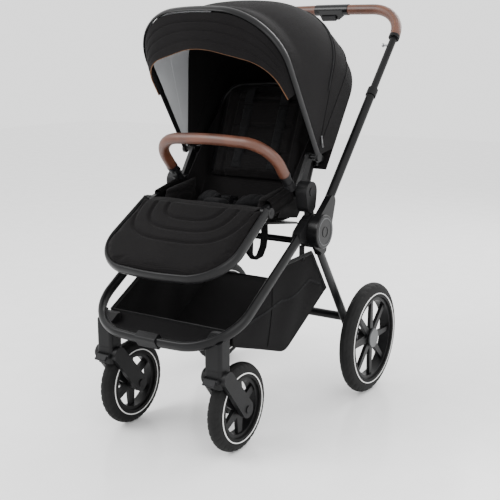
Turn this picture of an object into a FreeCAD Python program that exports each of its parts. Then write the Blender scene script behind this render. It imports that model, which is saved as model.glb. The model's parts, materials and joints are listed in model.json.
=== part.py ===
import FreeCAD, Part
import math
import os

V = FreeCAD.Vector

# Baby stroller. Millimetres and degrees. X is across, -Y is the front, Z is up.
# The origin is on the floor, in the middle of the stroller's length and width.

# ---- Wheels ----
FRONT_AXLE_Y = -295.84
WHEELBASE = 500.0
FRONT_TRACK = 306.0
REAR_TRACK = 469.0
FRONT_WHEEL_R = 102.0
REAR_WHEEL_R = 145.0
FRONT_TYRE_WIDTH = 35.0
REAR_TYRE_WIDTH = 37.0
FRONT_RIM_R = 70.0
REAR_RIM_R = 109.0
RIM_DEPTH = 9.0
FRONT_SPOKES = 6
REAR_SPOKES = 8
FRONT_AXLE_R = 4.0
REAR_AXLE_R = 6.0
AXLE_FIT = 0.05
TYRE_GAP = 4.0

# ---- Casters ----
CASTER_TRAIL = 73.0
CASTER_WIDTH = 44.0
CASTER_LENGTH = 40.0
CASTER_SEAM_Z = 213.0
CASTER_BLOCK_HEIGHT = 40.0
FORK_ARM_THICK = 12.0
FORK_ARM_R = 20.0
SWIVEL_PIN_R = 7.0
SWIVEL_PIN_LENGTH = 30.0
LOCK_LEVER_WIDTH = 30.0

# ---- Chassis ----
HUB_Y = FRONT_AXLE_Y + 250.0
HUB_Z = 468.0
HUB_R = 40.0
HUB_COVER_X = 235.0
FRAME_SLOPE = 32.3
FRAME_HALF = 197.0
FRAME_ABOVE_HUB = 22.0
FRAME_REACH = 420.0
FRAME_CORNER_R = 123.0
FRAME_CROWN = 6.5
FRAME_TUBE_W = 17.0
FRAME_TUBE_H = 26.0
TUBE_WALL = 1.6
CROSS_TUBE_R = 8.0
LEG_TOP_X = FRAME_HALF
LEG_FOOT_X = FRAME_HALF - 13.0
LEG_THICK = 14.0
REAR_BAR_DOWN_LEG = 0.835
REAR_BAR_R = 11.0

# ---- Handle ----
HANDLE_SLOPE = 47.86
HANDLE_OFFSET = 10.0
HANDLE_REACH = 695.0
HANDLE_CORNER_R = 97.0
HANDLE_TUBE_R = 11.0
HANDLE_INNER_R = 9.1
HANDLE_COLLAR_AT = 398.0
HANDLE_COLLAR_LENGTH = 22.0
HANDLE_TRAVEL = 120.0
GRIP_R = 13.5
HOUSING_HALF = 50.0

# ---- Seat ----
SEAT_AXIS_Y = HUB_Y - 10.0
SEAT_AXIS_Z = HUB_Z + 92.0
SEAT_HALF = 158.0
LEGREST_AXIS_Y = SEAT_AXIS_Y - 135.0
LEGREST_AXIS_Z = SEAT_AXIS_Z - 32.0
LEGREST_HALF = SEAT_HALF + 13.0
LEGREST_FRONT_HALF = LEGREST_HALF + 9.0
LEGREST_RISE = 7.6
LEGREST_REACH = 241.0
LEGREST_CORNER_R = 100.0
SEAT_PAD_HALF = SEAT_HALF - 12.0
SEAT_PAD_THICK = 26.0
BACK_LEAN = 23.0
BACK_FOOT_Z = SEAT_AXIS_Z - 8.0
BACK_HEIGHT = 268.0
BACK_HALF = SEAT_HALF
BACK_PAD_THICK = 24.0
BUMPER_HALF = SEAT_HALF + 4.0
BUMPER_SLOPE = 131.0
BUMPER_REACH = 150.0
BUMPER_CORNER_R = 72.0
BUMPER_R = 13.0

# ---- Canopy ----
CANOPY_HINGE_Y = SEAT_AXIS_Y + 46.0
CANOPY_HINGE_Z = SEAT_AXIS_Z + 76.0
CANOPY_FRONT_ANGLE = 122.8
CANOPY_HALF = SEAT_HALF + 33.0
CANOPY_BOW_REACH = 394.0
CANOPY_REACH = 362.0
CANOPY_CROWN = 12.0
CANOPY_CORNER_R = min(141.0, 0.74 * CANOPY_HALF)
CANOPY_FABRIC = 2.5
CANOPY_FLARE = 14.0
BOW_WIDTH = 18.0
BOW_THICK = 6.8
VISOR_FOOT = 184.0
VISOR_ANGLE = 131.0
VISOR_REACH = 324.0
REAR_WALL_ANGLE = 55.6
REAR_WALL_BACK = 92.0
CANOPY_LAYER = 3.0
CANOPY_FOOT = 5.3
CANOPY_PIN_R = 5.0
BOW_SEAT = 0.1

# ---- Clearances ----
RUN_GAP = 0.5
SLIDE_GAP = 0.3

# ---- Derived places ----
REAR_AXLE_Y = FRONT_AXLE_Y + WHEELBASE
SWIVEL_Y = FRONT_AXLE_Y - CASTER_TRAIL
CASTER_X = FRONT_TRACK / 2
REAR_WHEEL_X = REAR_TRACK / 2
FRAME_OUTER_X = FRAME_HALF + FRAME_TUBE_W / 2
HUB_OUTER_X = FRAME_OUTER_X
HUB_INNER_X = FRAME_HALF - FRAME_TUBE_W / 2 - 4.0
LEG_HEAD_X = HUB_OUTER_X + RUN_GAP
LEG_HEAD_THICK = 7.0
HANDLE_HEAD_X = LEG_HEAD_X + LEG_HEAD_THICK + RUN_GAP
COVER_X = HUB_COVER_X - 5.0
HUB_PIN_R = 8.0
HANDLE_HALF = FRAME_OUTER_X + RUN_GAP + HANDLE_TUBE_R
LEG_FOOT_Y = REAR_AXLE_Y - 8.0
LEG_FOOT_Z = REAR_WHEEL_R + 8.0
REAR_BAR_Y = HUB_Y + (LEG_FOOT_Y - HUB_Y) * REAR_BAR_DOWN_LEG
REAR_BAR_Z = HUB_Z + (LEG_FOOT_Z - HUB_Z) * REAR_BAR_DOWN_LEG
BACK_ANGLE = 90.0 - BACK_LEAN
SEAT_DROP = 24.0
SEAT_FRONT_Y = LEGREST_AXIS_Y + 4.0
SEAT_BACK_Y = SEAT_AXIS_Y + 34.0
SEAT_FRONT_Z = LEGREST_AXIS_Z - 24.5
BASKET_HALF = FRAME_HALF - 25.0
BASKET_WALL = 3.0


def unit(angle):
    """A direction in the YZ plane, measured from +Y towards +Z."""
    return V(0, math.cos(math.radians(angle)), math.sin(math.radians(angle)))


def in_plane(origin, angle, x, along, above=0.0):
    """A point of a plane that holds X and slopes by angle: across, along it, and off it."""
    return origin + unit(angle) * along + unit(angle + 90) * above + V(x, 0, 0)


def mirrored(shape):
    return shape.mirror(V(0, 0, 0), V(1, 0, 0))


def cylinder_x(x0, x1, y, z, radius):
    return Part.makeCylinder(radius, x1 - x0, V(x0, y, z), V(1, 0, 0))


def rod(start, end, radius):
    return Part.makeCylinder(radius, (end - start).Length, start, end - start)


def block(x0, x1, y0, y1, z0, z1, round_r=0.0):
    body = Part.makeBox(x1 - x0, y1 - y0, z1 - z0, V(x0, y0, z0))
    if not round_r:
        return body
    edges = [e for e in body.Edges if abs(abs(e.tangentAt(e.FirstParameter).z) - 1) < 1e-6]
    return body.makeFillet(round_r, edges)


def prism(points, direction):
    """A polygon carried along a direction."""
    face = Part.Face(Part.makePolygon(list(points) + [points[0]]))
    return face.extrude(direction)


def link(x0, x1, first, second):
    """A plate between two round ends, each (y, z, radius), from x0 to x1."""
    (y0, z0, r0), (y1, z1, r1) = first, second
    gap = math.hypot(y1 - y0, z1 - z0)
    heading = math.atan2(z1 - z0, y1 - y0)
    lean = math.acos((r0 - r1) / gap)
    corners = []
    for (y, z, r), side in ((first, 1), (second, 1), (second, -1), (first, -1)):
        corners.append(V(x0, y + r * math.cos(heading + side * lean),
            z + r * math.sin(heading + side * lean)))
    web = prism(corners, V(x1 - x0, 0, 0))
    ends = [cylinder_x(x0, x1, y0, z0, r0), cylinder_x(x0, x1, y1, z1, r1)]
    return web.multiFuse(ends).removeSplitter()


def rounded_path(points, radii):
    """Straight runs joined by tangent arcs, one radius for each inner point."""
    edges = []
    last = points[0]
    for before, corner, after, radius in zip(points, points[1:], points[2:], radii):
        into = (corner - before).normalize()
        out = (after - corner).normalize()
        half_turn = into.getAngle(out) / 2
        back = radius * math.tan(half_turn)
        start = corner - into * back
        end = corner + out * back
        inward = (out - into).normalize()
        middle = corner + inward * (radius / math.cos(half_turn) - radius)
        if (start - last).Length > 1e-6:
            edges.append(Part.LineSegment(last, start).toShape())
        edges.append(Part.Arc(start, middle, end).toShape())
        last = end
    edges.append(Part.LineSegment(last, points[-1]).toShape())
    return Part.Wire(edges)


def u_points(origin, angle, foot_half, half, reach, crown, foot=0.0):
    """The corner points of a flat U that opens at its foot and bows out by crown at its top."""
    return [
        in_plane(origin, angle, foot_half, foot),
        in_plane(origin, angle, half, reach - crown),
        in_plane(origin, angle, 0, reach + crown / 3),
        in_plane(origin, angle, -half, reach - crown),
        in_plane(origin, angle, -foot_half, foot),
    ]


def u_radii(half, corner_r, crown):
    turn = math.atan(crown * 4 / 3 / half)
    return [corner_r, 0.3 * half / math.tan(turn), corner_r]


def u_path(origin, angle, foot_half, half, reach, corner_r, crown, foot=0.0):
    points = u_points(origin, angle, foot_half, half, reach, crown, foot)
    return rounded_path(points, u_radii(half, corner_r, crown))


def swept(path, angle, across, tall):
    """A tube of oval section along a flat path: across lies in the path's plane, tall stands off it."""
    edge = path.Edges[0]
    start = edge.valueAt(edge.FirstParameter)
    heading = edge.tangentAt(edge.FirstParameter)
    off = unit(angle + 90)
    side = heading.cross(off).normalize()
    if abs(across - tall) < 1e-6:
        section = Part.Circle(start, heading, across).toShape()
    elif tall > across:
        section = Part.Ellipse(start + off * tall, start + side * across, start).toShape()
    else:
        section = Part.Ellipse(start + side * across, start + off * tall, start).toShape()
    return path.makePipeShell([Part.Wire([section])], True, False)


def plane_box(origin, angle, x0, x1, along0, along1, above0, above1):
    corner = in_plane(origin, angle, x0, along0, above0)
    face = Part.Face(Part.makePolygon([
        corner,
        corner + V(x1 - x0, 0, 0),
        corner + V(x1 - x0, 0, 0) + unit(angle) * (along1 - along0),
        corner + unit(angle) * (along1 - along0),
        corner,
    ]))
    return face.extrude(unit(angle + 90) * (above1 - above0))


def turned_x(face, y, z, degrees=360):
    return face.revolve(V(0, y, z), V(1, 0, 0), degrees)


# ---------------------------------------------------------------- wheels


def tyre(centre_x, axle_y, axle_z, outer_r, width, rim_r):
    half = width / 2
    shoulder = 0.2 * (outer_r - rim_r)
    sidewall = (outer_r + rim_r) / 2

    def spot(x, r):
        return V(centre_x + x, axle_y, axle_z + r)

    bead = half - 5.0
    edge = half - 4.0
    outline = Part.Wire([
        Part.Arc(spot(-bead, rim_r), spot(-half, sidewall), spot(-edge, outer_r - shoulder)).toShape(),
        Part.Arc(spot(-edge, outer_r - shoulder), spot(0, outer_r), spot(edge,
            outer_r - shoulder)).toShape(),
        Part.Arc(spot(edge, outer_r - shoulder), spot(half, sidewall), spot(bead, rim_r)).toShape(),
        Part.LineSegment(spot(bead, rim_r), spot(-bead, rim_r)).toShape(),
    ])
    return turned_x(Part.Face(outline), axle_y, axle_z)


def rim(centre_x, axle_y, axle_z, rim_r, half, hub_r, hub_x0, hub_x1, bore_r, spokes, spoke_w, out):
    """A moulded wheel: a channelled hoop, a hub with a bore, and tapered spokes between them."""
    hoop = cylinder_x(centre_x - half, centre_x + half, axle_y, axle_z, rim_r)
    hoop = hoop.cut(cylinder_x(centre_x - half, centre_x + half, axle_y, axle_z, rim_r - RIM_DEPTH))
    hub = cylinder_x(hub_x0, hub_x1, axle_y, axle_z, hub_r)
    inner = rim_r - RIM_DEPTH + 2.0
    arms = []
    for n in range(spokes):
        arm = prism(
            [
                V(centre_x, axle_y - spoke_w * 0.8, axle_z + hub_r - 4),
                V(centre_x, axle_y + spoke_w * 0.8, axle_z + hub_r - 4),
                V(centre_x, axle_y + spoke_w / 2, axle_z + inner),
                V(centre_x, axle_y - spoke_w / 2, axle_z + inner),
            ],
            V(out * 9.0, 0, 0),
        )
        arm.rotate(V(centre_x, axle_y, axle_z), V(1, 0, 0), 360.0 * n / spokes)
        arms.append(arm)
    wheel = hoop.multiFuse([hub] + arms).removeSplitter()
    return wheel.cut(cylinder_x(hub_x0, hub_x1, axle_y, axle_z, bore_r))


def front_wheel():
    z = FRONT_WHEEL_R
    arm_gap = FRONT_TYRE_WIDTH / 2 + 2.0
    hub0, hub1 = CASTER_X - arm_gap + RUN_GAP, CASTER_X + arm_gap - RUN_GAP
    return {
        "front_tyre": tyre(CASTER_X, FRONT_AXLE_Y, z, FRONT_WHEEL_R, FRONT_TYRE_WIDTH, FRONT_RIM_R),
        "front_rim": rim(
            CASTER_X, FRONT_AXLE_Y, z, FRONT_RIM_R, FRONT_TYRE_WIDTH / 2 - 5.0, 17.0, hub0, hub1,
            FRONT_AXLE_R + AXLE_FIT, FRONT_SPOKES, 15.0, 1,
        ),
    }


def rear_wheel():
    z = REAR_WHEEL_R
    half = REAR_TYRE_WIDTH / 2
    hub0, hub1 = REAR_WHEEL_X - half - 1.0, REAR_WHEEL_X + half - 5.0
    cap = cylinder_x(hub1, hub1 + 4.0, REAR_AXLE_Y, z, 25.0)
    cap = cap.makeFillet(1.6, [e for e in cap.Edges if abs(e.CenterOfMass.x - hub1 - 4.0) < 0.01])
    return {
        "rear_tyre": tyre(REAR_WHEEL_X, REAR_AXLE_Y, z, REAR_WHEEL_R, REAR_TYRE_WIDTH, REAR_RIM_R),
        "rear_rim": rim(
            REAR_WHEEL_X, REAR_AXLE_Y, z, REAR_RIM_R, half - 5.0, 22.0, hub0, hub1,
            REAR_AXLE_R + AXLE_FIT, REAR_SPOKES, 11.0, 1,
        ),
        "rear_hub_cap": cap,
    }


# ---------------------------------------------------------------- casters


def caster():
    """The turning fork, its axle bolt and the foot lever that locks its turn, on the right."""
    half = CASTER_WIDTH / 2
    front, back = SWIVEL_Y - CASTER_LENGTH / 2, SWIVEL_Y + CASTER_LENGTH / 2
    arm_in = FRONT_TYRE_WIDTH / 2 + 2.0
    arm_out = arm_in + FORK_ARM_THICK
    bottom = CASTER_SEAM_Z - CASTER_BLOCK_HEIGHT
    body = block(CASTER_X - half, CASTER_X + half, front, back, bottom, CASTER_SEAM_Z, 8.0)
    parts = []
    for x0, x1 in ((arm_in, arm_out), (-arm_out, -arm_in)):
        parts.append(link(
            CASTER_X + x0, CASTER_X + x1,
            (SWIVEL_Y, CASTER_SEAM_Z - FORK_ARM_R, FORK_ARM_R - 2.0),
            (FRONT_AXLE_Y, FRONT_WHEEL_R, FORK_ARM_R),
        ))
    fork = body.multiFuse(parts)
    clear = cylinder_x(CASTER_X - arm_in, CASTER_X + arm_in, FRONT_AXLE_Y, FRONT_WHEEL_R,
        FRONT_WHEEL_R + TYRE_GAP)
    fork = fork.cut(clear)
    pin = Part.makeCylinder(SWIVEL_PIN_R, SWIVEL_PIN_LENGTH, V(CASTER_X, SWIVEL_Y, CASTER_SEAM_Z))
    lever_y, lever_z = front - 5.0, CASTER_SEAM_Z - 20.0
    ears = []
    for side in (-1, 1):
        x0 = CASTER_X + side * (LOCK_LEVER_WIDTH / 2 + RUN_GAP)
        x1 = x0 + side * 4.0
        ears.append(link(min(x0, x1), max(x0, x1), (front + 8.0, lever_z, 7.0), (lever_y, lever_z, 4.5)))
    fork = fork.multiFuse([pin] + ears).removeSplitter()
    axle = cylinder_x(CASTER_X - arm_out, CASTER_X + arm_out, FRONT_AXLE_Y, FRONT_WHEEL_R, FRONT_AXLE_R)
    lever_pin = cylinder_x(
        CASTER_X - LOCK_LEVER_WIDTH / 2 - RUN_GAP - 4.0, CASTER_X + LOCK_LEVER_WIDTH / 2 + RUN_GAP + 4.0,
        lever_y, lever_z, 2.0,
    )
    fork = fork.cut(axle).cut(cylinder_x(
        CASTER_X - half, CASTER_X + half, lever_y, lever_z, 2.0 + AXLE_FIT,
    ))
    caps = [
        cylinder_x(CASTER_X + arm_out, CASTER_X + arm_out + 2.5, FRONT_AXLE_Y, FRONT_WHEEL_R, 9.0),
        cylinder_x(CASTER_X - arm_out - 2.5, CASTER_X - arm_out, FRONT_AXLE_Y, FRONT_WHEEL_R, 9.0),
    ]
    lever = link(
        CASTER_X - LOCK_LEVER_WIDTH / 2, CASTER_X + LOCK_LEVER_WIDTH / 2,
        (lever_y, lever_z, 4.3), (lever_y - 9.0, lever_z - 7.0, 3.0),
    )
    return {
        "caster_fork": fork,
        "front_axle": axle.multiFuse(caps).removeSplitter(),
        "swivel_lock": lever.fuse(lever_pin).removeSplitter(),
    }


def caster_housing(frame_solid):
    """The fixed socket under the frame that the caster's pin turns in, on the right."""
    half = CASTER_WIDTH / 2
    front, back = SWIVEL_Y - CASTER_LENGTH / 2, SWIVEL_Y + CASTER_LENGTH / 2
    bottom = CASTER_SEAM_Z + RUN_GAP
    frame_z = HUB_Z + (SWIVEL_Y - HUB_Y) * math.tan(math.radians(FRAME_SLOPE))
    top = frame_z + FRAME_ABOVE_HUB / math.cos(math.radians(FRAME_SLOPE))
    body = block(CASTER_X - half, CASTER_X + half, front, back, bottom, top, 8.0)
    slope = FRAME_SLOPE + 180
    over = plane_box(
        frame_origin(), slope, CASTER_X - CASTER_WIDTH, CASTER_X + CASTER_WIDTH, 0, 2 * FRAME_REACH, -60, 3.0,
    )
    bore = Part.makeCylinder(SWIVEL_PIN_R + AXLE_FIT, SWIVEL_PIN_LENGTH + 1.0, V(CASTER_X, SWIVEL_Y,
        bottom))
    return body.cut(over).cut(frame_solid).cut(bore)


# ---------------------------------------------------------------- chassis


def frame_origin():
    """The point of the front frame's plane nearest to the hub's centre."""
    return V(0, HUB_Y, HUB_Z) + unit(90 - FRAME_SLOPE + 2 * FRAME_SLOPE) * FRAME_ABOVE_HUB


def front_frame(inset=0.0):
    slope = FRAME_SLOPE + 180
    path = u_path(
        frame_origin(), slope, FRAME_HALF, FRAME_HALF, FRAME_REACH, FRAME_CORNER_R, FRAME_CROWN, 6.0,
    )
    return swept(path, slope, FRAME_TUBE_W / 2 - inset, FRAME_TUBE_H / 2 - inset)


def hub_housing(frame_solid):
    """The fixed half of the fold hub with its frame socket and the tongue that carries the seat."""
    disc = cylinder_x(HUB_INNER_X, HUB_OUTER_X, HUB_Y, HUB_Z, HUB_R)
    return disc.multiFuse([frame_socket(HUB_INNER_X, HUB_OUTER_X),
        seat_tongue()]).cut(frame_solid).removeSplitter()


def seat_tongue():
    return link(
        HUB_INNER_X + 3.0, HUB_OUTER_X - 6.0,
        (HUB_Y - 2.0, HUB_Z + HUB_R - 8.0, 13.0), (SEAT_AXIS_Y, SEAT_AXIS_Z - 22.0, 11.0),
    )


def seat_adapter():
    """The block that drops over the hub's tongue and carries the seat's pivot, on the right."""
    foot_z = HUB_Z + HUB_R + 20.0
    shell = link(
        SEAT_HALF + 16.0, HUB_OUTER_X - 2.0,
        (SEAT_AXIS_Y + 1.0, foot_z + 4.0, 20.0), (SEAT_AXIS_Y, SEAT_AXIS_Z, 25.0),
    )
    button = cylinder_x(HUB_OUTER_X - 7.0, HUB_OUTER_X, SEAT_AXIS_Y, SEAT_AXIS_Z + 1.0, 10.0 + SLIDE_GAP)
    pin = cylinder_x(SEAT_HALF - 6.0, SEAT_HALF + 16.0, SEAT_AXIS_Y, SEAT_AXIS_Z, 6.0)
    frame = front_frame()
    room = frame_socket(HUB_INNER_X - 30.0, HUB_OUTER_X + 1.0)
    return shell.cut(seat_tongue()).cut(frame).cut(button).cut(room).fuse(pin).removeSplitter()


def frame_socket(x0, x1):
    """The sleeve that holds the front frame's foot at the hub."""
    near = in_plane(frame_origin(), FRAME_SLOPE + 180, 0, 12.0)
    far = in_plane(frame_origin(), FRAME_SLOPE + 180, 0, 46.0)
    return link(x0, x1, (near.y, near.z, 19.0), (far.y, far.z, 16.5))


def seat_release():
    return cylinder_x(HUB_OUTER_X - 7.0 + 4.5, HUB_OUTER_X - 0.5, SEAT_AXIS_Y, SEAT_AXIS_Z + 1.0, 10.0)


def rear_leg():
    """A leg with its plate in the hub, a tapering oval shank and the boss that holds the axle."""
    foot = V(LEG_FOOT_X, LEG_FOOT_Y, LEG_FOOT_Z)
    heading = math.degrees(math.atan2(foot.z - HUB_Z, foot.y - HUB_Y))
    hub = V(0, HUB_Y, HUB_Z)
    plate_end = hub + unit(heading) * (HUB_R + 22.0)
    plate = link(LEG_HEAD_X, LEG_HEAD_X + LEG_HEAD_THICK, (HUB_Y, HUB_Z, HUB_R - 2.0), (plate_end.y,
        plate_end.z, 13.0))
    inner = LEG_TOP_X - LEG_THICK / 2
    knee = plane_box(hub, heading, inner, LEG_HEAD_X + 1.0, HUB_R + RUN_GAP + 1.0, HUB_R + 34.0, -12.0,
        12.0)
    top = hub + unit(heading) * (HUB_R + 26.0) + V(LEG_TOP_X, 0, 0)
    along = (foot - top).normalize()
    off = unit(heading + 90)
    side = along.cross(off)
    rings = []
    for centre, wide in ((top, 12.0), (foot, 16.0)):
        rings.append(Part.Wire([Part.Ellipse(centre + off * wide, centre + side * LEG_THICK / 2,
            centre).toShape()]))
    shank = Part.makeLoft(rings, True, True)
    boss = cylinder_x(LEG_FOOT_X - 8.0, LEG_FOOT_X + 20.0, REAR_AXLE_Y, REAR_WHEEL_R, 19.0)
    leg = plate.multiFuse([knee, shank, boss]).removeSplitter()
    leg = leg.cut(cylinder_x(LEG_HEAD_X, HANDLE_HEAD_X, HUB_Y, HUB_Z, HUB_PIN_R + AXLE_FIT))
    return leg.cut(rear_axle())


def rear_axle():
    """The stub axle with the shoulder that keeps the wheel off the leg, on the right."""
    wheel_in = REAR_WHEEL_X - REAR_TYRE_WIDTH / 2 - 1.0 - RUN_GAP
    shoulder = cylinder_x(LEG_FOOT_X + 20.0, wheel_in, REAR_AXLE_Y, REAR_WHEEL_R, REAR_AXLE_R + 5.0)
    stub = cylinder_x(
        LEG_FOOT_X - 4.0, REAR_WHEEL_X + REAR_TYRE_WIDTH / 2 - 6.0, REAR_AXLE_Y, REAR_WHEEL_R, REAR_AXLE_R,
    )
    return stub.fuse(shoulder).removeSplitter()


def rear_bar(legs):
    bar = cylinder_x(-LEG_FOOT_X - 2.0, LEG_FOOT_X + 2.0, REAR_BAR_Y, REAR_BAR_Z, REAR_BAR_R)
    for leg in legs:
        bar = bar.cut(leg)
    solids = sorted(bar.Solids, key=lambda s: -s.Volume)
    return solids[0].cut(cylinder_x(-40.5, 40.5, REAR_BAR_Y, REAR_BAR_Z, 30.0).cut(
        cylinder_x(-40.5, 40.5, REAR_BAR_Y, REAR_BAR_Z, REAR_BAR_R - 1.0)))


def brake_pedal():
    """A foot bar that rocks on the rear cross bar."""
    sleeve = cylinder_x(-40.0, 40.0, REAR_BAR_Y, REAR_BAR_Z, REAR_BAR_R + 3.0)
    tread = link(
        -36.0, 36.0, (REAR_BAR_Y + 12.0, REAR_BAR_Z - 2.0, 8.0), (REAR_BAR_Y + 46.0, REAR_BAR_Z - 8.0, 5.0),
    )
    pedal = sleeve.fuse(tread).removeSplitter()
    return pedal.cut(cylinder_x(-40.0, 40.0, REAR_BAR_Y, REAR_BAR_Z, REAR_BAR_R - 1.0 + AXLE_FIT))


# ---------------------------------------------------------------- handle


def handle_origin():
    return V(0, HUB_Y, HUB_Z) + unit(HANDLE_SLOPE + 90) * HANDLE_OFFSET


def handle_lower():
    """The hub plate, neck, outer tube and collar of the handle, on the right."""
    origin = handle_origin()
    neck_end = in_plane(origin, HANDLE_SLOPE, 0, 78.0)
    head = link(
        HANDLE_HEAD_X, COVER_X - RUN_GAP, (HUB_Y, HUB_Z, HUB_R - 1.0), (neck_end.y, neck_end.z, 15.0),
    )
    start = in_plane(origin, HANDLE_SLOPE, HANDLE_HALF, 52.0)
    end = in_plane(origin, HANDLE_SLOPE, HANDLE_HALF, HANDLE_COLLAR_AT + HANDLE_COLLAR_LENGTH - 4.0)
    tube = rod(start, end, HANDLE_TUBE_R)
    bore_from = in_plane(origin, HANDLE_SLOPE, HANDLE_HALF, 120.0)
    bore = rod(bore_from, end + unit(HANDLE_SLOPE), HANDLE_INNER_R + SLIDE_GAP)
    arm = head.fuse(tube).removeSplitter().cut(bore)
    arm = arm.cut(cylinder_x(HANDLE_HEAD_X - 1.0, COVER_X, HUB_Y, HUB_Z, HUB_PIN_R + AXLE_FIT))
    collar = rod(
        in_plane(origin, HANDLE_SLOPE, HANDLE_HALF, HANDLE_COLLAR_AT),
        in_plane(origin, HANDLE_SLOPE, HANDLE_HALF, HANDLE_COLLAR_AT + HANDLE_COLLAR_LENGTH),
        HANDLE_TUBE_R + 2.2,
    ).cut(tube)
    collar = collar.cut(rod(bore_from, end + unit(HANDLE_SLOPE) * 10.0, HANDLE_INNER_R + SLIDE_GAP))
    return {"handle_arm": arm, "handle_collar": collar}


def handle_path(foot):
    return u_path(
        handle_origin(), HANDLE_SLOPE, HANDLE_HALF, HANDLE_HALF, HANDLE_REACH, HANDLE_CORNER_R, 2.6, foot,
    )


def handle_upper():
    """The sliding bow with its grips, centre housing, ferrules and studs."""
    origin = handle_origin()
    inside = HANDLE_COLLAR_AT - HANDLE_TRAVEL - 12.0
    path = handle_path(inside + HANDLE_TRAVEL)
    solid_bow = swept(path, HANDLE_SLOPE, HANDLE_INNER_R, HANDLE_INNER_R)
    bow = solid_bow.cut(swept(path, HANDLE_SLOPE, HANDLE_INNER_R - TUBE_WALL, HANDLE_INNER_R - TUBE_WALL))
    grip_from = HANDLE_REACH - HANDLE_CORNER_R
    sleeve = swept(handle_path(grip_from - 20.0), HANDLE_SLOPE, GRIP_R, GRIP_R)
    sleeve = sleeve.cut(solid_bow)
    window = plane_box(origin, HANDLE_SLOPE, HOUSING_HALF, HANDLE_HALF + 40, grip_from,
        HANDLE_REACH + 40, -40, 40)
    grip = sleeve.common(window)
    ferrule = rod(
        in_plane(origin, HANDLE_SLOPE, HANDLE_HALF, grip_from - 9.0),
        in_plane(origin, HANDLE_SLOPE, HANDLE_HALF, grip_from), GRIP_R + 0.8,
    ).cut(solid_bow)
    stud_at = in_plane(origin, HANDLE_SLOPE, HANDLE_HALF, grip_from - 32.0)
    stem = rod(stud_at - V(21.0, 0, 0), stud_at, 3.0).cut(solid_bow)
    head = rod(stud_at - V(23.5, 0, 0), stud_at - V(20.0, 0, 0), 5.2)
    stud = stem.Solids[0].fuse(head).removeSplitter()
    shell = rod(V(-HOUSING_HALF, 0, 0), V(HOUSING_HALF, 0, 0), GRIP_R + 1.6)
    middle = in_plane(origin, HANDLE_SLOPE, 0, HANDLE_REACH)
    shell.translate(middle)
    low = [
        in_plane(origin, HANDLE_SLOPE, x, HANDLE_REACH + s, -10.0)
        for x, s in ((-44.0, 0.0), (44.0, 0.0), (27.0, -27.0), (-27.0, -27.0))
    ]
    skirt = prism(low, unit(HANDLE_SLOPE + 90) * 20.0)
    pocket = plane_box(
        origin, HANDLE_SLOPE, -21.3, 21.3, HANDLE_REACH - 30.0, HANDLE_REACH - 19.0, -7.3, 7.3,
    )
    housing = shell.fuse(skirt).removeSplitter().cut(solid_bow).cut(pocket)
    housing = sorted(housing.Solids, key=lambda s: -s.Volume)[0]
    button = plane_box(
        origin, HANDLE_SLOPE, -21.0, 21.0, HANDLE_REACH - 34.0, HANDLE_REACH - 24.0, -7.0, 7.0,
    )
    return {
        "handle_bow": bow,
        "handle_grips": Part.makeCompound([grip, mirrored(grip)]),
        "handle_ferrules": Part.makeCompound([ferrule, mirrored(ferrule)]),
        "handle_studs": Part.makeCompound([stud, mirrored(stud)]),
        "handle_housing": housing,
        "handle_button": button,
    }


# ---------------------------------------------------------------- seat


def seat_frame():
    """Side rails from the seat's pivot to the leg rest's hinge, joined by a rail under the seat."""
    rails = []
    for side in (1, -1):
        x0, x1 = sorted((side * (SEAT_HALF - 6.0), side * (SEAT_HALF + 6.0)))
        rails.append(link(x0, x1, (SEAT_AXIS_Y, SEAT_AXIS_Z, 16.0), (LEGREST_AXIS_Y, LEGREST_AXIS_Z, 11.0)))
    cross = cylinder_x(-SEAT_HALF, SEAT_HALF, LEGREST_AXIS_Y + 16.0, LEGREST_AXIS_Z - 3.0, 6.0)
    frame = rails[0].multiFuse([rails[1], cross])
    for side in (1, -1):
        x0, x1 = sorted((side * (SEAT_HALF - 7.0), side * (SEAT_HALF + 7.0)))
        frame = frame.cut(cylinder_x(x0, x1, SEAT_AXIS_Y, SEAT_AXIS_Z, 6.0))
    pins = []
    for side in (1, -1):
        x0, x1 = sorted((side * (SEAT_HALF + 5.0), side * (LEGREST_HALF + 7.0)))
        pins.append(cylinder_x(x0, x1, LEGREST_AXIS_Y, LEGREST_AXIS_Z, 4.0))
    return frame.multiFuse(pins).removeSplitter()


def seat_board():
    """The board under the seat pad, resting on the rail at its front."""
    front_y, front_z = LEGREST_AXIS_Y + 8.0, LEGREST_AXIS_Z - 30.0
    back_y, back_z = SEAT_AXIS_Y + 36.0, SEAT_AXIS_Z - 86.0
    return prism(
        [
            V(-SEAT_PAD_HALF, front_y, front_z), V(-SEAT_PAD_HALF, back_y, back_z),
            V(-SEAT_PAD_HALF, back_y, back_z + 5.0), V(-SEAT_PAD_HALF, front_y, front_z + 5.0),
        ],
        V(2 * SEAT_PAD_HALF, 0, 0),
    )


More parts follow.
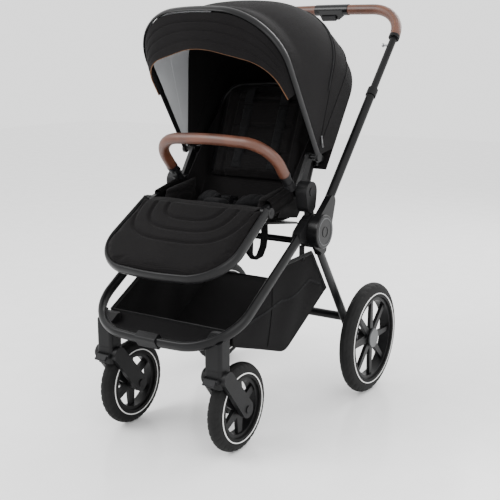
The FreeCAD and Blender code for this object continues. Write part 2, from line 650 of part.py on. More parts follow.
def seat_pad():
    """The seat's cushion with a raised bolster along each side."""
    front_y, front_z = SEAT_FRONT_Y, SEAT_FRONT_Z
    back_y, back_z = SEAT_BACK_Y, SEAT_FRONT_Z - SEAT_DROP
    rise = SEAT_PAD_THICK
    pad = prism(
        [
            V(-SEAT_PAD_HALF, front_y, front_z), V(-SEAT_PAD_HALF, back_y, back_z),
            V(-SEAT_PAD_HALF, back_y, back_z + rise), V(-SEAT_PAD_HALF, front_y, front_z + rise),
        ],
        V(2 * SEAT_PAD_HALF, 0, 0),
    )
    bolsters = []
    for side in (1, -1):
        x0, x1 = sorted((side * (SEAT_PAD_HALF - 24.0), side * SEAT_PAD_HALF))
        bolsters.append(prism(
            [
                V(x0, front_y + 14.0, front_z + 4.0), V(x0, SEAT_AXIS_Y - 6.0, back_z + 8.0),
                V(x0, SEAT_AXIS_Y - 6.0, SEAT_AXIS_Z + 2.0), V(x0, front_y + 30.0, SEAT_AXIS_Z - 2.0),
            ],
            V(x1 - x0, 0, 0),
        ))
    pad = pad.multiFuse(bolsters).removeSplitter()
    return pad.cut(seat_frame()).cut(seat_board())


def back_origin():
    """The foot of the backrest's middle plane."""
    return V(0, SEAT_AXIS_Y + 78.5, BACK_FOOT_Z)


def backrest_frame():
    """A flat hoop round the backrest with two arms that reach the seat's pivot past the canopy's hinge."""
    origin = back_origin()
    path = u_path(origin, BACK_ANGLE, BACK_HALF, BACK_HALF, BACK_HEIGHT, 60.0, 6.0, 60.0)
    hoop = swept(path, BACK_ANGLE, 6.0, 6.0)
    x0 = SEAT_HALF + 6.5
    x1 = SEAT_HALF + 15.5
    joint = in_plane(origin, BACK_ANGLE, 0, 70.0)
    arm = link(x0, x1, (SEAT_AXIS_Y, SEAT_AXIS_Z, 14.0), (CANOPY_HINGE_Y, CANOPY_HINGE_Z, 10.0))
    back = link(x0 - 3.0, x1, (CANOPY_HINGE_Y, CANOPY_HINGE_Z, 8.0), (joint.y, joint.z + 10.0, 7.0))
    pin = cylinder_x(x1 - 1.0, CANOPY_HALF + 6.0, CANOPY_HINGE_Y, CANOPY_HINGE_Z, CANOPY_PIN_R)
    arm = arm.multiFuse([back, pin]).removeSplitter()
    arm = arm.cut(cylinder_x(SEAT_HALF, SEAT_HALF + 16.0, SEAT_AXIS_Y, SEAT_AXIS_Z, 6.0 + AXLE_FIT))
    return hoop.multiFuse([arm, mirrored(arm)]).removeSplitter()


def backrest_board():
    """A thin stiff board across the hoop."""
    board = plane_box(
        back_origin(), BACK_ANGLE, -BACK_HALF + 8.0, BACK_HALF - 8.0, 2.0, BACK_HEIGHT - 8.0, -3.0, 3.0,
    )
    return sorted(board.cut(backrest_frame()).Solids, key=lambda s: -s.Volume)[0]


def backrest_pad():
    pad = plane_box(
        back_origin(), BACK_ANGLE, -SEAT_PAD_HALF + 4.0, SEAT_PAD_HALF - 4.0,
        2.0, BACK_HEIGHT - 14.0, 3.3, 3.3 + BACK_PAD_THICK,
    )
    upright = [e for e in pad.Edges if abs(e.Length - BACK_PAD_THICK) < 0.01]
    return pad.makeFillet(28.0, upright)


def shoulder_straps():
    """Two padded straps down the front of the backrest."""
    straps = []
    for side in (1, -1):
        x0, x1 = sorted((side * 34.0, side * 70.0))
        face = 3.3 + BACK_PAD_THICK + 0.3
        straps.append(plane_box(back_origin(), BACK_ANGLE, x0, x1, 30.0, 205.0, face, face + 7.0))
    return Part.makeCompound(straps)


def recline_lever():
    """The squeeze loop at the top of the backrest's back."""
    origin = back_origin()
    bar = plane_box(origin, BACK_ANGLE, -34.0, 34.0, BACK_HEIGHT - 64.0, BACK_HEIGHT - 30.0, -11.5, -3.4)
    hole = plane_box(origin, BACK_ANGLE, -22.0, 22.0, BACK_HEIGHT - 54.0, BACK_HEIGHT - 42.0, -13.0, -3.0)
    return bar.cut(hole)


def harness_buckle():
    """The five-point buckle that lies at the front of the seat with its crotch strap."""
    y0 = LEGREST_AXIS_Y + 58.0
    fall = SEAT_DROP * (y0 - SEAT_FRONT_Y) / (SEAT_BACK_Y - SEAT_FRONT_Y)
    top_z = SEAT_FRONT_Z + SEAT_PAD_THICK - fall + SLIDE_GAP + 2.0
    shell = block(-23.0, 23.0, y0, y0 + 44.0, top_z - 2.0, top_z + 16.0, 6.0)
    pocket = cylinder_z(0.0, y0 + 22.0, top_z + 7.0, top_z + 17.0, 11.0 + SLIDE_GAP)
    shell = shell.cut(pocket)
    button = cylinder_z(0.0, y0 + 22.0, top_z + 11.0, top_z + 18.5, 11.0)
    return shell, button


def cylinder_z(x, y, z0, z1, radius):
    return Part.makeCylinder(radius, z1 - z0, V(x, y, z0))


def legrest():
    """The hinged bow of the leg rest and the quilted cover stretched across it."""
    slope = 180 + FRAME_SLOPE
    origin = V(0, LEGREST_AXIS_Y, LEGREST_AXIS_Z) - unit(slope + 90) * LEGREST_RISE
    path = u_path(origin, slope, LEGREST_HALF, LEGREST_FRONT_HALF, LEGREST_REACH, LEGREST_CORNER_R,
        10.0, 6.0)
    bow = swept(path, slope, 6.0, 12.5)
    x0, x1 = LEGREST_HALF - 6.5, LEGREST_HALF + 6.5
    ring = cylinder_x(x0, x1, LEGREST_AXIS_Y, LEGREST_AXIS_Z, 12.0)
    hole = cylinder_x(x0 - 1, x1 + 1, LEGREST_AXIS_Y, LEGREST_AXIS_Z, 4.0 + AXLE_FIT)
    bow = bow.multiFuse([ring, mirrored(ring)]).removeSplitter().cut(hole).cut(mirrored(hole))
    inner = u_path(origin, slope, SEAT_HALF - 14.0, LEGREST_FRONT_HALF - 14.0, LEGREST_REACH - 5.0,
                   LEGREST_CORNER_R - 8.0, 10.0, 16.0)
    first = inner.Edges[0].valueAt(inner.Edges[0].FirstParameter)
    last = V(-first.x, first.y, first.z)
    face = Part.Face(Part.Wire(list(inner.Edges) + [Part.LineSegment(last, first).toShape()]))
    lift = unit(slope + 90)
    cover = face.extrude(lift * -18.0)
    cover.translate(lift * 3.0)
    return bow, cover.cut(bow)


def bumper():
    """The bar across the child's lap, its padding, and its two mounts on the seat rails."""
    origin = V(0, SEAT_AXIS_Y - 25.0, SEAT_AXIS_Z + 8.6)
    slope = BUMPER_SLOPE

    def path(foot):
        return u_path(origin, slope, BUMPER_HALF, BUMPER_HALF, BUMPER_REACH, BUMPER_CORNER_R, 8.0, foot)

    turn = 28.0
    core = swept(path(turn), slope, 9.0, 9.0)
    cover = swept(path(turn + 16.0), slope, BUMPER_R, BUMPER_R)
    hollow = swept(path(turn - 1.0), slope, 9.0, 9.0)
    cover = cover.cut(hollow)
    stub = rod(in_plane(origin, slope, BUMPER_HALF, turn - 6.0), in_plane(origin, slope, BUMPER_HALF,
        turn + 16.0), 12.0)
    plug = rod(in_plane(origin, slope, BUMPER_HALF, 6.0), in_plane(origin, slope, BUMPER_HALF, turn), 7.5)
    left = in_plane(origin, slope, -BUMPER_HALF, turn)
    normal = unit(slope + 90)
    eye = Part.makeCylinder(11.4, 20.0, left - normal * 10.0, normal)
    stub_left = rod(left, in_plane(origin, slope, -BUMPER_HALF, turn + 16.0), 12.0)
    slot = plane_box(origin, slope, -BUMPER_HALF - 14.0, -BUMPER_HALF + 14.0, turn - 14.0, turn + 11.5,
        -4.4, 4.4)
    pin_hole = Part.makeCylinder(3.0 + AXLE_FIT, 30.0, left - normal * 15.0, normal)
    bar = core.multiFuse([stub, plug, eye, stub_left]).removeSplitter().cut(slot).cut(pin_hole)

    socket = rod(in_plane(origin, slope, BUMPER_HALF, 0.0), in_plane(origin, slope, BUMPER_HALF,
        turn - 6.5), 13.0)
    bore = rod(in_plane(origin, slope, BUMPER_HALF, 5.0), in_plane(origin, slope, BUMPER_HALF, turn), 9.0)
    button_room = plane_box(origin, slope, BUMPER_HALF - 4.3, BUMPER_HALF + 4.3, 10.5, 19.1, 8.0, 20.0)
    socket = socket.cut(bore).cut(button_room)
    button = plane_box(origin, slope, BUMPER_HALF - 4.0, BUMPER_HALF + 4.0, 10.8, 18.8, 11.6, 15.5)
    base = rod(in_plane(origin, slope, -BUMPER_HALF, 0.0), in_plane(origin, slope, -BUMPER_HALF,
        turn - 12.5), 13.0)
    tongue = plane_box(origin, slope, -BUMPER_HALF - 8.0, -BUMPER_HALF + 8.0, turn - 14.0, turn, -4.0, 4.0)
    round_end = Part.makeCylinder(8.0, 8.0, left - normal * 4.0, normal)
    pin = Part.makeCylinder(3.0, 20.0, left - normal * 10.0, normal)
    mount_left = base.multiFuse([tongue, round_end, pin]).removeSplitter()
    return bar, cover, socket, mount_left, button


# ---------------------------------------------------------------- canopy


def canopy_outline(inset, angle, reach=CANOPY_REACH, foot=CANOPY_FOOT):
    """The canopy's arch as a path in the plane through the hinge that slopes by angle."""
    origin = V(0, CANOPY_HINGE_Y, CANOPY_HINGE_Z)
    half = CANOPY_HALF - inset
    return u_path(origin, angle, half, half, reach - inset, CANOPY_CORNER_R - inset, CANOPY_CROWN, foot)


def band_wire(outer, inner):
    """The closed outline between two open paths."""
    ends = []
    for n in (0, -1):
        a, b = outer.Edges[n], inner.Edges[n]
        p = a.valueAt(a.FirstParameter if n == 0 else a.LastParameter)
        q = b.valueAt(b.FirstParameter if n == 0 else b.LastParameter)
        ends.append(Part.LineSegment(p, q).toShape())
    return Part.Wire(Part.__sortEdges__(list(outer.Edges) + list(inner.Edges) + ends))


def canopy_band(inset, angle, reach=CANOPY_REACH, foot=CANOPY_FOOT):
    """The arch as a closed outline, one cloth thickness deep."""
    outer = canopy_outline(inset, angle, reach, foot)
    inner = canopy_outline(inset + CANOPY_FABRIC, angle, reach, foot)
    return band_wire(outer, inner)


def turned_on_hinge(face, degrees):
    return turned_x(face, CANOPY_HINGE_Y, CANOPY_HINGE_Z, degrees)


def canopy_shell(inset, angle0, angle1):
    shell = turned_on_hinge(Part.Face(canopy_band(inset, angle0)), angle1 - angle0)
    return shell.cut(canopy_pin_room())


def canopy_pin_room():
    reach = CANOPY_HALF + 6.0
    return cylinder_x(-reach, reach, CANOPY_HINGE_Y, CANOPY_HINGE_Z, CANOPY_PIN_R + AXLE_FIT)


def canopy_core(inset, angle0, angle1):
    """Everything under the arch between two angles."""
    outline = canopy_outline(inset, angle0)
    first = outline.Edges[0].valueAt(outline.Edges[0].FirstParameter)
    last = V(-first.x, first.y, first.z)
    face = Part.Face(Part.Wire(list(outline.Edges) + [Part.LineSegment(last, first).toShape()]))
    return turned_on_hinge(face, angle1 - angle0)


def canopy_front_bow():
    """The front bow and the two flat eyes that turn on the hinge pins."""
    out = BOW_THICK / 2 + BOW_SEAT
    path = canopy_outline(-out, CANOPY_FRONT_ANGLE, CANOPY_BOW_REACH)
    bow = swept(path, CANOPY_FRONT_ANGLE, BOW_THICK / 2, BOW_WIDTH / 2)
    eye = cylinder_x(CANOPY_HALF + BOW_SEAT, CANOPY_HALF + 2 * out, CANOPY_HINGE_Y, CANOPY_HINGE_Z, 11.0)
    return bow.multiFuse([eye, mirrored(eye)]).removeSplitter().cut(canopy_pin_room())


def canopy_front_panel():
    """The cloth behind the front bow: it dips from the bow and then runs level to the middle bow."""
    flare_start = CANOPY_FRONT_ANGLE - CANOPY_FLARE
    level = canopy_shell(0.0, 84.0, flare_start)
    flare = Part.makeLoft(
        [canopy_band(0.0, flare_start), canopy_band(0.0, CANOPY_FRONT_ANGLE - 1.0,
            CANOPY_BOW_REACH)], True, True,
    )
    return level.fuse(flare).removeSplitter().cut(canopy_pin_room())


def canopy_visor():
    """The crescent peak that hangs ahead of the front bow between its two sides."""
    high = canopy_band(0.0, CANOPY_FRONT_ANGLE + 1.5, CANOPY_BOW_REACH, VISOR_FOOT)
    origin = V(0, CANOPY_HINGE_Y, CANOPY_HINGE_Z)
    rims = []
    for inset in (0.0, CANOPY_FABRIC):
        rims.append(u_path(
            origin, VISOR_ANGLE, CANOPY_HALF - 9.0 - inset, CANOPY_HALF - 20.0 - inset,
            VISOR_REACH - inset, 90.0, 42.0, VISOR_FOOT,
        ))
    return Part.makeLoft([high, band_wire(rims[0], rims[1])], True, True)


def canopy_rear():
    """The rear hood: the arch down to a slanting back wall behind the backrest."""
    inset = 2 * CANOPY_LAYER
    low, high = 8.0, 57.0
    foot = V(0, CANOPY_HINGE_Y + REAR_WALL_BACK, CANOPY_HINGE_Z + 14.0)
    outer = canopy_core(inset, low, high)
    inner = canopy_core(inset + CANOPY_FABRIC, low - 5.0, high + 5.0)
    behind = plane_box(foot, REAR_WALL_ANGLE, -300, 300, -200, 600, -600, 0)
    behind_inner = plane_box(foot, REAR_WALL_ANGLE, -300, 300, -200, 600, -600, CANOPY_FABRIC)
    return outer.cut(behind).cut(inner.cut(behind_inner)).cut(canopy_pin_room())


def canopy():
    return {
        "canopy_front_bow": canopy_front_bow(),
        "canopy_visor": canopy_visor(),
        "canopy_front_panel": canopy_front_panel(),
        "canopy_mid_bow": canopy_shell(CANOPY_LAYER, 52.0, 54.0),
        "canopy_mid_panel": canopy_shell(CANOPY_LAYER, 54.0, 88.0),
        "canopy_rear_panel": canopy_rear(),
    }


# ---------------------------------------------------------------- basket and small parts


def basket():
    """The shopping basket: thin panels open at the top, hung from the cross tube and caster sockets."""
    wall = BASKET_WALL
    front = max(HUB_Y - 292.0, SWIVEL_Y + CASTER_LENGTH / 2 + BOW_SEAT + BASKET_WALL)
    slope_y, slope_z = HUB_Y + 124.0, HUB_Z - 172.0
    floor_y, floor_z = HUB_Y - 75.0, HUB_Z - 282.0
    rise_y, rise_z = HUB_Y - 193.0, HUB_Z - 242.0
    outline = [
        (front, HUB_Z - 180.0), (HUB_Y - 97.0, HUB_Z - 70.0), (HUB_Y + 48.0, HUB_Z - 64.0), (slope_y,
            slope_z),
        (floor_y, floor_z), (rise_y, rise_z), (front, HUB_Z - 210.0),
    ]
    room = [
        (front + wall, HUB_Z), (slope_y - 1.5 * wall, HUB_Z), (slope_y - 1.5 * wall, slope_z + 1.2),
        (floor_y + 0.4, floor_z + 3.8), (rise_y + 1.0, rise_z + wall), (front + wall, HUB_Z - 207.5),
    ]
    outer = prism([V(-BASKET_HALF, y, z) for y, z in outline], V(2 * BASKET_HALF, 0, 0))
    inner = prism([V(-BASKET_HALF + wall, y, z) for y, z in room], V(2 * (BASKET_HALF - wall), 0, 0))
    tube_y, tube_z = HUB_Y + 3.0, HUB_Z - 30.0
    hanger = block(BASKET_HALF - wall, BASKET_HALF, tube_y - 12.0, tube_y + 12.0, HUB_Z - 72.0, tube_z)
    hanger = hanger.cut(cylinder_x(0, BASKET_HALF + 1.0, tube_y, tube_z, CROSS_TUBE_R))
    tab = block(
        CASTER_X - 12.0, CASTER_X + 12.0, SWIVEL_Y + CASTER_LENGTH / 2 + BOW_SEAT, front + 1.0,
        HUB_Z - 206.0, HUB_Z - 194.0,
    )
    held = [hanger, mirrored(hanger), tab, mirrored(tab)]
    return outer.cut(inner).multiFuse(held).removeSplitter()


def build_all():
    frame_solid = front_frame()
    nodes = {}

    def pair(name, shape):
        nodes[name + "_right"] = shape
        nodes[name + "_left"] = mirrored(shape)

    def both(name, shape):
        nodes[name] = Part.makeCompound([shape, mirrored(shape)])

    for name, shape in {**front_wheel(), **rear_wheel(), **caster()}.items():
        pair(name, shape)
    lower = handle_lower()
    both("handle_arms", lower["handle_arm"])
    both("handle_collars", lower["handle_collar"])
    nodes["front_frame"] = frame_solid.cut(front_frame(TUBE_WALL))
    both("caster_housings", caster_housing(frame_solid))
    both("hub_housings", hub_housing(frame_solid))
    both("hub_pins", cylinder_x(HUB_OUTER_X, COVER_X, HUB_Y, HUB_Z, HUB_PIN_R))
    cover = cylinder_x(COVER_X, HUB_COVER_X, HUB_Y, HUB_Z, HUB_R)
    rim_edge = [e for e in cover.Edges if abs(e.CenterOfMass.x - HUB_COVER_X) < 0.01]
    both("hub_covers", cover.makeFillet(2.5, rim_edge))
    nodes["cross_tube"] = cylinder_x(-HUB_INNER_X, HUB_INNER_X, HUB_Y + 3.0, HUB_Z - 30.0, CROSS_TUBE_R)
    nodes["frame_clip"] = frame_clip(frame_solid)
    leg = rear_leg()
    both("rear_legs", leg)
    both("rear_axles", rear_axle())
    nodes["rear_bar"] = rear_bar([leg, mirrored(leg)])
    nodes["brake_pedal"] = brake_pedal()
    nodes.update(handle_upper())
    both("seat_adapters", seat_adapter())
    pair("seat_release", seat_release())
    nodes["seat_frame"] = Part.makeCompound([seat_frame(), seat_board()])
    nodes["seat_pad"] = seat_pad()
    nodes["backrest_frame"] = backrest_frame()
    nodes["backrest_board"] = backrest_board()
    nodes["backrest_pad"] = backrest_pad()
    nodes["shoulder_straps"] = shoulder_straps()
    nodes["recline_lever"] = recline_lever()
    nodes["harness_buckle"], nodes["buckle_button"] = harness_buckle()
    nodes["legrest_bow"], nodes["legrest_cover"] = legrest()
    bar, cover, socket, mount_left, button = bumper()
    nodes["bumper_bar"], nodes["bumper_cover"] = bar, cover
    mounts = [m.cut(nodes["seat_frame"]) for m in (socket, mount_left)]
    nodes["bumper_mounts"] = Part.makeCompound([m for mount in mounts for m in mount.Solids])
    nodes["bumper_button"] = button
    nodes.update(canopy())
    nodes["basket"] = basket()
    return nodes


def frame_clip(frame_solid):
    """A moulded clip round the middle of the front bar."""
    middle = in_plane(frame_origin(), FRAME_SLOPE + 180, 0, FRAME_REACH)
    shell = plane_box(
        frame_origin(), FRAME_SLOPE + 180, -28, 28, FRAME_REACH - 13, FRAME_REACH + 11, -16, 16,
    )
    shell = shell.makeFillet(6.0, [e for e in shell.Edges if abs(e.Length - 56) < 0.01])
    return sorted(shell.cut(frame_solid).Solids, key=lambda s: -s.Volume)[0]


os.makedirs("parts", exist_ok=True)
for node, solid in build_all().items():
    solid.exportStep("parts/" + node + ".step")
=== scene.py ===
import bisect
import json
import math

import bpy
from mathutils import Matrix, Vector


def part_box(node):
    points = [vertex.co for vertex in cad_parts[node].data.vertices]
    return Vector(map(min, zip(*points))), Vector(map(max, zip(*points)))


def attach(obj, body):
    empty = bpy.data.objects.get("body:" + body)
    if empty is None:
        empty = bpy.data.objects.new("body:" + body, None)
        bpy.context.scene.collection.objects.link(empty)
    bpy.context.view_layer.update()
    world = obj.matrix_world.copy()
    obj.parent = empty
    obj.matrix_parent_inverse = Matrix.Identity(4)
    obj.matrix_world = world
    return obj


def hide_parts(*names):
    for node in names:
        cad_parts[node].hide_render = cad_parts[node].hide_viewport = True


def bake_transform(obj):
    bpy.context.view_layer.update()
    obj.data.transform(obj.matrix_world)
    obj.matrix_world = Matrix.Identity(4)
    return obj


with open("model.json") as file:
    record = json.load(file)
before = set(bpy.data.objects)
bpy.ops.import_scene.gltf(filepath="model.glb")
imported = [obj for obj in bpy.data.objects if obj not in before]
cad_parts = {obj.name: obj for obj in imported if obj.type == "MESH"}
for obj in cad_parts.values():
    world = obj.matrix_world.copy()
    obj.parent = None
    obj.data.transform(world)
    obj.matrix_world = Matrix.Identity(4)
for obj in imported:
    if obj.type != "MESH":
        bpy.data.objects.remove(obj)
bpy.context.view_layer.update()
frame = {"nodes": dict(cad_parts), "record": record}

# ---------------------------------------------------------------- places on the stroller, in metres


def middle(node):
    low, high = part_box(node)
    return [(a + b) / 2 for a, b in zip(low, high)]


HUB = (middle("hub_pins")[1], middle("hub_pins")[2])
SEAT_AXIS = (HUB[0] - 0.010, HUB[1] + 0.092)
LEG_AXIS = (SEAT_AXIS[0] - 0.135, SEAT_AXIS[1] - 0.032)
HINGE = (SEAT_AXIS[0] + 0.046, SEAT_AXIS[1] + 0.076)
BACK_FOOT = (SEAT_AXIS[0] + 0.0785, SEAT_AXIS[1] - 0.008)
BACK_ANGLE = 67.0
FRAME_SLOPE = 212.3
HANDLE_SLOPE = 47.86
CANOPY_HALF = 0.191
CANOPY_REACH = 0.362
CANOPY_CORNER = 0.141
CANOPY_CROWN = 0.012
CANOPY_FOOT = 0.0056
BOW_REACH = 0.394
BOW_ANGLE = 122.8
CLOTH = 0.0022
SIDES = ((1, "right"), (-1, "left"))
ACROSS, AHEAD = Vector((1, 0, 0)), Vector((0, 1, 0))
SMALLEST_SHARE = 0.4     # a cut's area is at least this share of its width times its length


def unit(angle):
    return Vector((0, math.cos(math.radians(angle)), math.sin(math.radians(angle))))


def plane(origin, angle, x, along, above=0.0):
    """A point on a plane that holds X and slopes by angle from +Y towards +Z."""
    return Vector((x, origin[0], origin[1])) + unit(angle) * along + unit(angle + 90) * above


def smooth(t):
    t = min(1.0, max(0.0, t))
    return t * t * (3 - 2 * t)


def ridge(distance, width):
    return math.exp(-((distance / width) ** 2))


def mix(a, b, t):
    return a + (b - a) * t


# ---------------------------------------------------------------- flat outlines


class Line:
    """Points of a flat outline, read by the share of its length."""

    def __init__(self, points):
        self.points = points
        self.at = [0.0]
        for a, b in zip(points, points[1:]):
            self.at.append(self.at[-1] + math.dist(a, b))
        self.length = self.at[-1]

    def __call__(self, share):
        want = min(1.0, max(0.0, share)) * self.length
        n = min(len(self.at) - 2, max(0, bisect.bisect_right(self.at, want) - 1))
        t = (want - self.at[n]) / max(1e-9, self.at[n + 1] - self.at[n])
        return tuple(mix(a, b, t) for a, b in zip(self.points[n], self.points[n + 1]))


def rounded(corners, radii, steps=14):
    """Straight runs with a round at each inner corner."""
    points = [corners[0]]
    for before, corner, after, radius in zip(corners, corners[1:], corners[2:], radii):
        before, corner, after = Vector(before), Vector(corner), Vector(after)
        into, out = (corner - before).normalized(), (after - corner).normalized()
        half_turn = into.angle(out) / 2
        centre = corner + (out - into).normalized() * radius / math.cos(half_turn)
        back = radius * math.tan(half_turn)
        start, end = corner - into * back - centre, corner + out * back - centre
        for n in range(steps + 1):
            t = n / steps
            w = (math.sin((1 - t) * 2 * half_turn), math.sin(t * 2 * half_turn))
            points.append(tuple(centre + (start * w[0] + end * w[1]) / math.sin(2 * half_turn)))
    points.append(tuple(corners[-1]))
    return Line([tuple(p) for p in points])


def u_line(foot_half, half, reach, corner, crown, foot=0.0):
    """A U that opens at its foot, as (across, along) from the right foot round to the left."""
    turn = math.atan(crown * 4 / 3 / half)
    return rounded(
        [
            (foot_half, foot), (half, reach - crown), (0.0, reach + crown / 3), (-half, reach - crown),
            (-foot_half, foot),
        ],
        [corner, 0.3 * half / math.tan(turn), corner],
    )


def canopy_line(inset, reach=CANOPY_REACH, foot=CANOPY_FOOT):
    half = CANOPY_HALF - inset
    return u_line(half, half, reach - inset, CANOPY_CORNER - inset, CANOPY_CROWN, foot)


# ---------------------------------------------------------------- materials


def finish(name, roughness, metallic=0.0, coat=0.0, sheen=0.0):
    """A material with its shader, and the nodes that the makers below join to it."""
    material = bpy.data.materials.new(name)
    material.use_nodes = True
    shader = material.node_tree.nodes["Principled BSDF"]
    shader.inputs["Roughness"].default_value = roughness
    shader.inputs["Metallic"].default_value = metallic
    shader.inputs["Coat Weight"].default_value = coat
    shader.inputs["Coat Roughness"].default_value = 0.15
    shader.inputs["Sheen Weight"].default_value = sheen
    shader.inputs["Sheen Roughness"].default_value = 0.45
    return material, material.node_tree.nodes, material.node_tree.links, shader


def coordinates(nodes, links, source):
    where = nodes.new("ShaderNodeTexCoord")
    return where.outputs[source]


def noise(nodes, links, where, scale, detail=3.0):
    node = nodes.new("ShaderNodeTexNoise")
    node.inputs["Scale"].default_value = scale
    node.inputs["Detail"].default_value = detail
    links.new(where, node.inputs["Vector"])
    return node.outputs["Fac"]


def ramp(nodes, links, value, stops):
    node = nodes.new("ShaderNodeValToRGB")
    elements = node.color_ramp.elements
    while len(elements) < len(stops):
        elements.new(0.5)
    for element, (position, colour) in zip(elements, stops):
        element.position = position
        element.color = (*colour, 1.0)
    links.new(value, node.inputs["Fac"])
    return node.outputs["Color"]


def maths(nodes, links, operation, a, b):
    node = nodes.new("ShaderNodeMath")
    node.operation = operation
    for socket, value in zip(node.inputs, (a, b)):
        if isinstance(value, (int, float)):
            socket.default_value = value
        else:
            links.new(value, socket)
    return node.outputs["Value"]


def bump(nodes, links, shader, height, strength, distance):
    node = nodes.new("ShaderNodeBump")
    node.inputs["Strength"].default_value = strength
    node.inputs["Distance"].default_value = distance
    links.new(height, node.inputs["Height"])
    links.new(node.outputs["Normal"], shader.inputs["Normal"])


def threads(nodes, links, where, scale):
    """Crossing threads: the higher of two sets of ribs."""
    ribs = []
    for direction in ("X", "Y"):
        wave = nodes.new("ShaderNodeTexWave")
        wave.wave_type = "BANDS"
        wave.bands_direction = direction
        wave.inputs["Scale"].default_value = scale
        wave.inputs["Distortion"].default_value = 0.35
        links.new(where, wave.inputs["Vector"])
        ribs.append(wave.outputs["Fac"])
    return maths(nodes, links, "MULTIPLY", ribs[0], ribs[1])


def woven_finish(name, dark, light, scale=230.0, sheen=0.02, roughness=0.85, source="UV", depth=0.0006):
    material, nodes, links, shader = finish(name, roughness, sheen=sheen)
    shader.inputs["Specular IOR Level"].default_value = 0.08
    where = coordinates(nodes, links, source)
    weave = threads(nodes, links, where, scale)
    fleck = noise(nodes, links, where, scale * 1.7, 2.0)
    cloud = noise(nodes, links, where, 9.0, 3.0)
    woven, flecked = maths(nodes, links, "MULTIPLY", weave, 0.35), maths(nodes, links, "MULTIPLY", fleck, 0.5)
    tone = maths(nodes, links, "ADD", woven, flecked)
    tone = maths(nodes, links, "ADD", tone, maths(nodes, links, "MULTIPLY", cloud, 0.25))
    links.new(ramp(nodes, links, tone, [(0.28, dark), (0.78, light)]), shader.inputs["Base Color"])
    height = maths(nodes, links, "ADD", weave, maths(nodes, links, "MULTIPLY", fleck, 0.4))
    bump(nodes, links, shader, height, 0.5, depth)
    return material


def moulded_finish(name, dark, light, roughness, coat=0.0, grain=900.0, strength=0.12, metallic=0.0):
    material, nodes, links, shader = finish(name, roughness, metallic, coat)
    shader.inputs["Specular IOR Level"].default_value = 0.16
    where = coordinates(nodes, links, "Object")
    cloud = noise(nodes, links, where, 14.0, 4.0)
    fine = noise(nodes, links, where, grain, 2.0)
    links.new(ramp(nodes, links, cloud, [(0.35, dark), (0.7, light)]), shader.inputs["Base Color"])
    rough = maths(nodes, links, "ADD", maths(nodes, links, "MULTIPLY", cloud, 0.16), roughness - 0.08)
    links.new(rough, shader.inputs["Roughness"])
    bump(nodes, links, shader, fine, strength, 0.0004)
    return material


def leather_finish(name, dark, light):
    material, nodes, links, shader = finish(name, 0.48, coat=0.08)
    where = coordinates(nodes, links, "Object")
    cells = nodes.new("ShaderNodeTexVoronoi")
    cells.feature = "DISTANCE_TO_EDGE"
    cells.inputs["Scale"].default_value = 420.0
    links.new(where, cells.inputs["Vector"])
    cloud = noise(nodes, links, where, 26.0, 5.0)
    links.new(ramp(nodes, links, cloud, [(0.3, dark), (0.72, light)]), shader.inputs["Base Color"])
    rough = maths(nodes, links, "ADD", maths(nodes, links, "MULTIPLY", cloud, 0.3), 0.32)
    links.new(rough, shader.inputs["Roughness"])
    bump(nodes, links, shader, cells.outputs["Distance"], 0.45, 0.0007)
    return material


CANOPY_CLOTH = woven_finish("canopy_cloth", (0.0022, 0.0020, 0.0021), (0.0105, 0.0095, 0.0100))
LINING = woven_finish("silver_lining", (0.38, 0.39, 0.40), (0.60, 0.61, 0.63), 260.0, 0.1, 0.6)
SEAT_CLOTH = woven_finish(
    "seat_cloth", (0.0020, 0.0018, 0.0019), (0.0095, 0.0085, 0.0088), 200.0, source="Object",
)
BASKET_CLOTH = woven_finish("basket_cloth", (0.0018, 0.0017, 0.0018), (0.0080, 0.0075, 0.0080), 170.0)
STRAP_CLOTH = woven_finish("webbing", (0.003, 0.003, 0.0032), (0.013, 0.013, 0.014), 320.0, source="Object")
BINDING = woven_finish(
    "edge_binding", (0.006, 0.006, 0.006), (0.022, 0.022, 0.023), 380.0, 0.1, source="Object",
)
PIPING = woven_finish("brown_piping", (0.10, 0.045, 0.020), (0.20, 0.10, 0.05), 380.0, 0.1, source="Object")
THREAD = woven_finish(
    "grey_thread", (0.010, 0.010, 0.010), (0.030, 0.030, 0.032), 500.0, 0.1, source="Object",
)
TAN_THREAD = woven_finish("tan_thread", (0.16, 0.07, 0.035), (0.28, 0.14, 0.075), 500.0, 0.1, source="Object")
LEATHER = leather_finish("tan_leather", (0.046, 0.0140, 0.0062), (0.098, 0.0315, 0.0150))
TUBE_BLACK = moulded_finish("black_tube", (0.0025, 0.0025, 0.0028), (0.0050, 0.0050, 0.0054), 0.36, 0.03)
PLASTIC = moulded_finish(
    "black_plastic", (0.0035, 0.0035, 0.0038), (0.0075, 0.0075, 0.0080), 0.46, 0.0, 1400.0, 0.3,
)
GLOSS = moulded_finish("gloss_black", (0.0025, 0.0025, 0.0028), (0.0055, 0.0055, 0.0060), 0.25, 0.2)
BOW_GREY = moulded_finish("bow_grey", (0.0035, 0.0035, 0.0038), (0.0070, 0.0070, 0.0075), 0.36, 0.04)
RIM = moulded_finish(
    "wheel_plastic", (0.0030, 0.0030, 0.0032), (0.0070, 0.0070, 0.0074), 0.40, 0.0, 700.0, 0.2,
)
RUBBER = moulded_finish(
    "tyre_rubber", (0.0035, 0.0035, 0.0035), (0.0085, 0.0085, 0.0085), 0.70, 0.0, 1100.0, 0.5,
)
WHITE_LINE = moulded_finish("pale_ring", (0.62, 0.62, 0.61), (0.80, 0.80, 0.79), 0.6, 0.0, 1100.0, 0.25)
CAP_GREY = moulded_finish(
    "cap_grey", (0.050, 0.051, 0.053), (0.090, 0.092, 0.095), 0.38, 0.2, 900.0, 0.15, 0.35,
)
STEEL = moulded_finish("steel", (0.28, 0.28, 0.29), (0.45, 0.45, 0.46), 0.34, 0.0, 800.0, 0.15, 0.9)
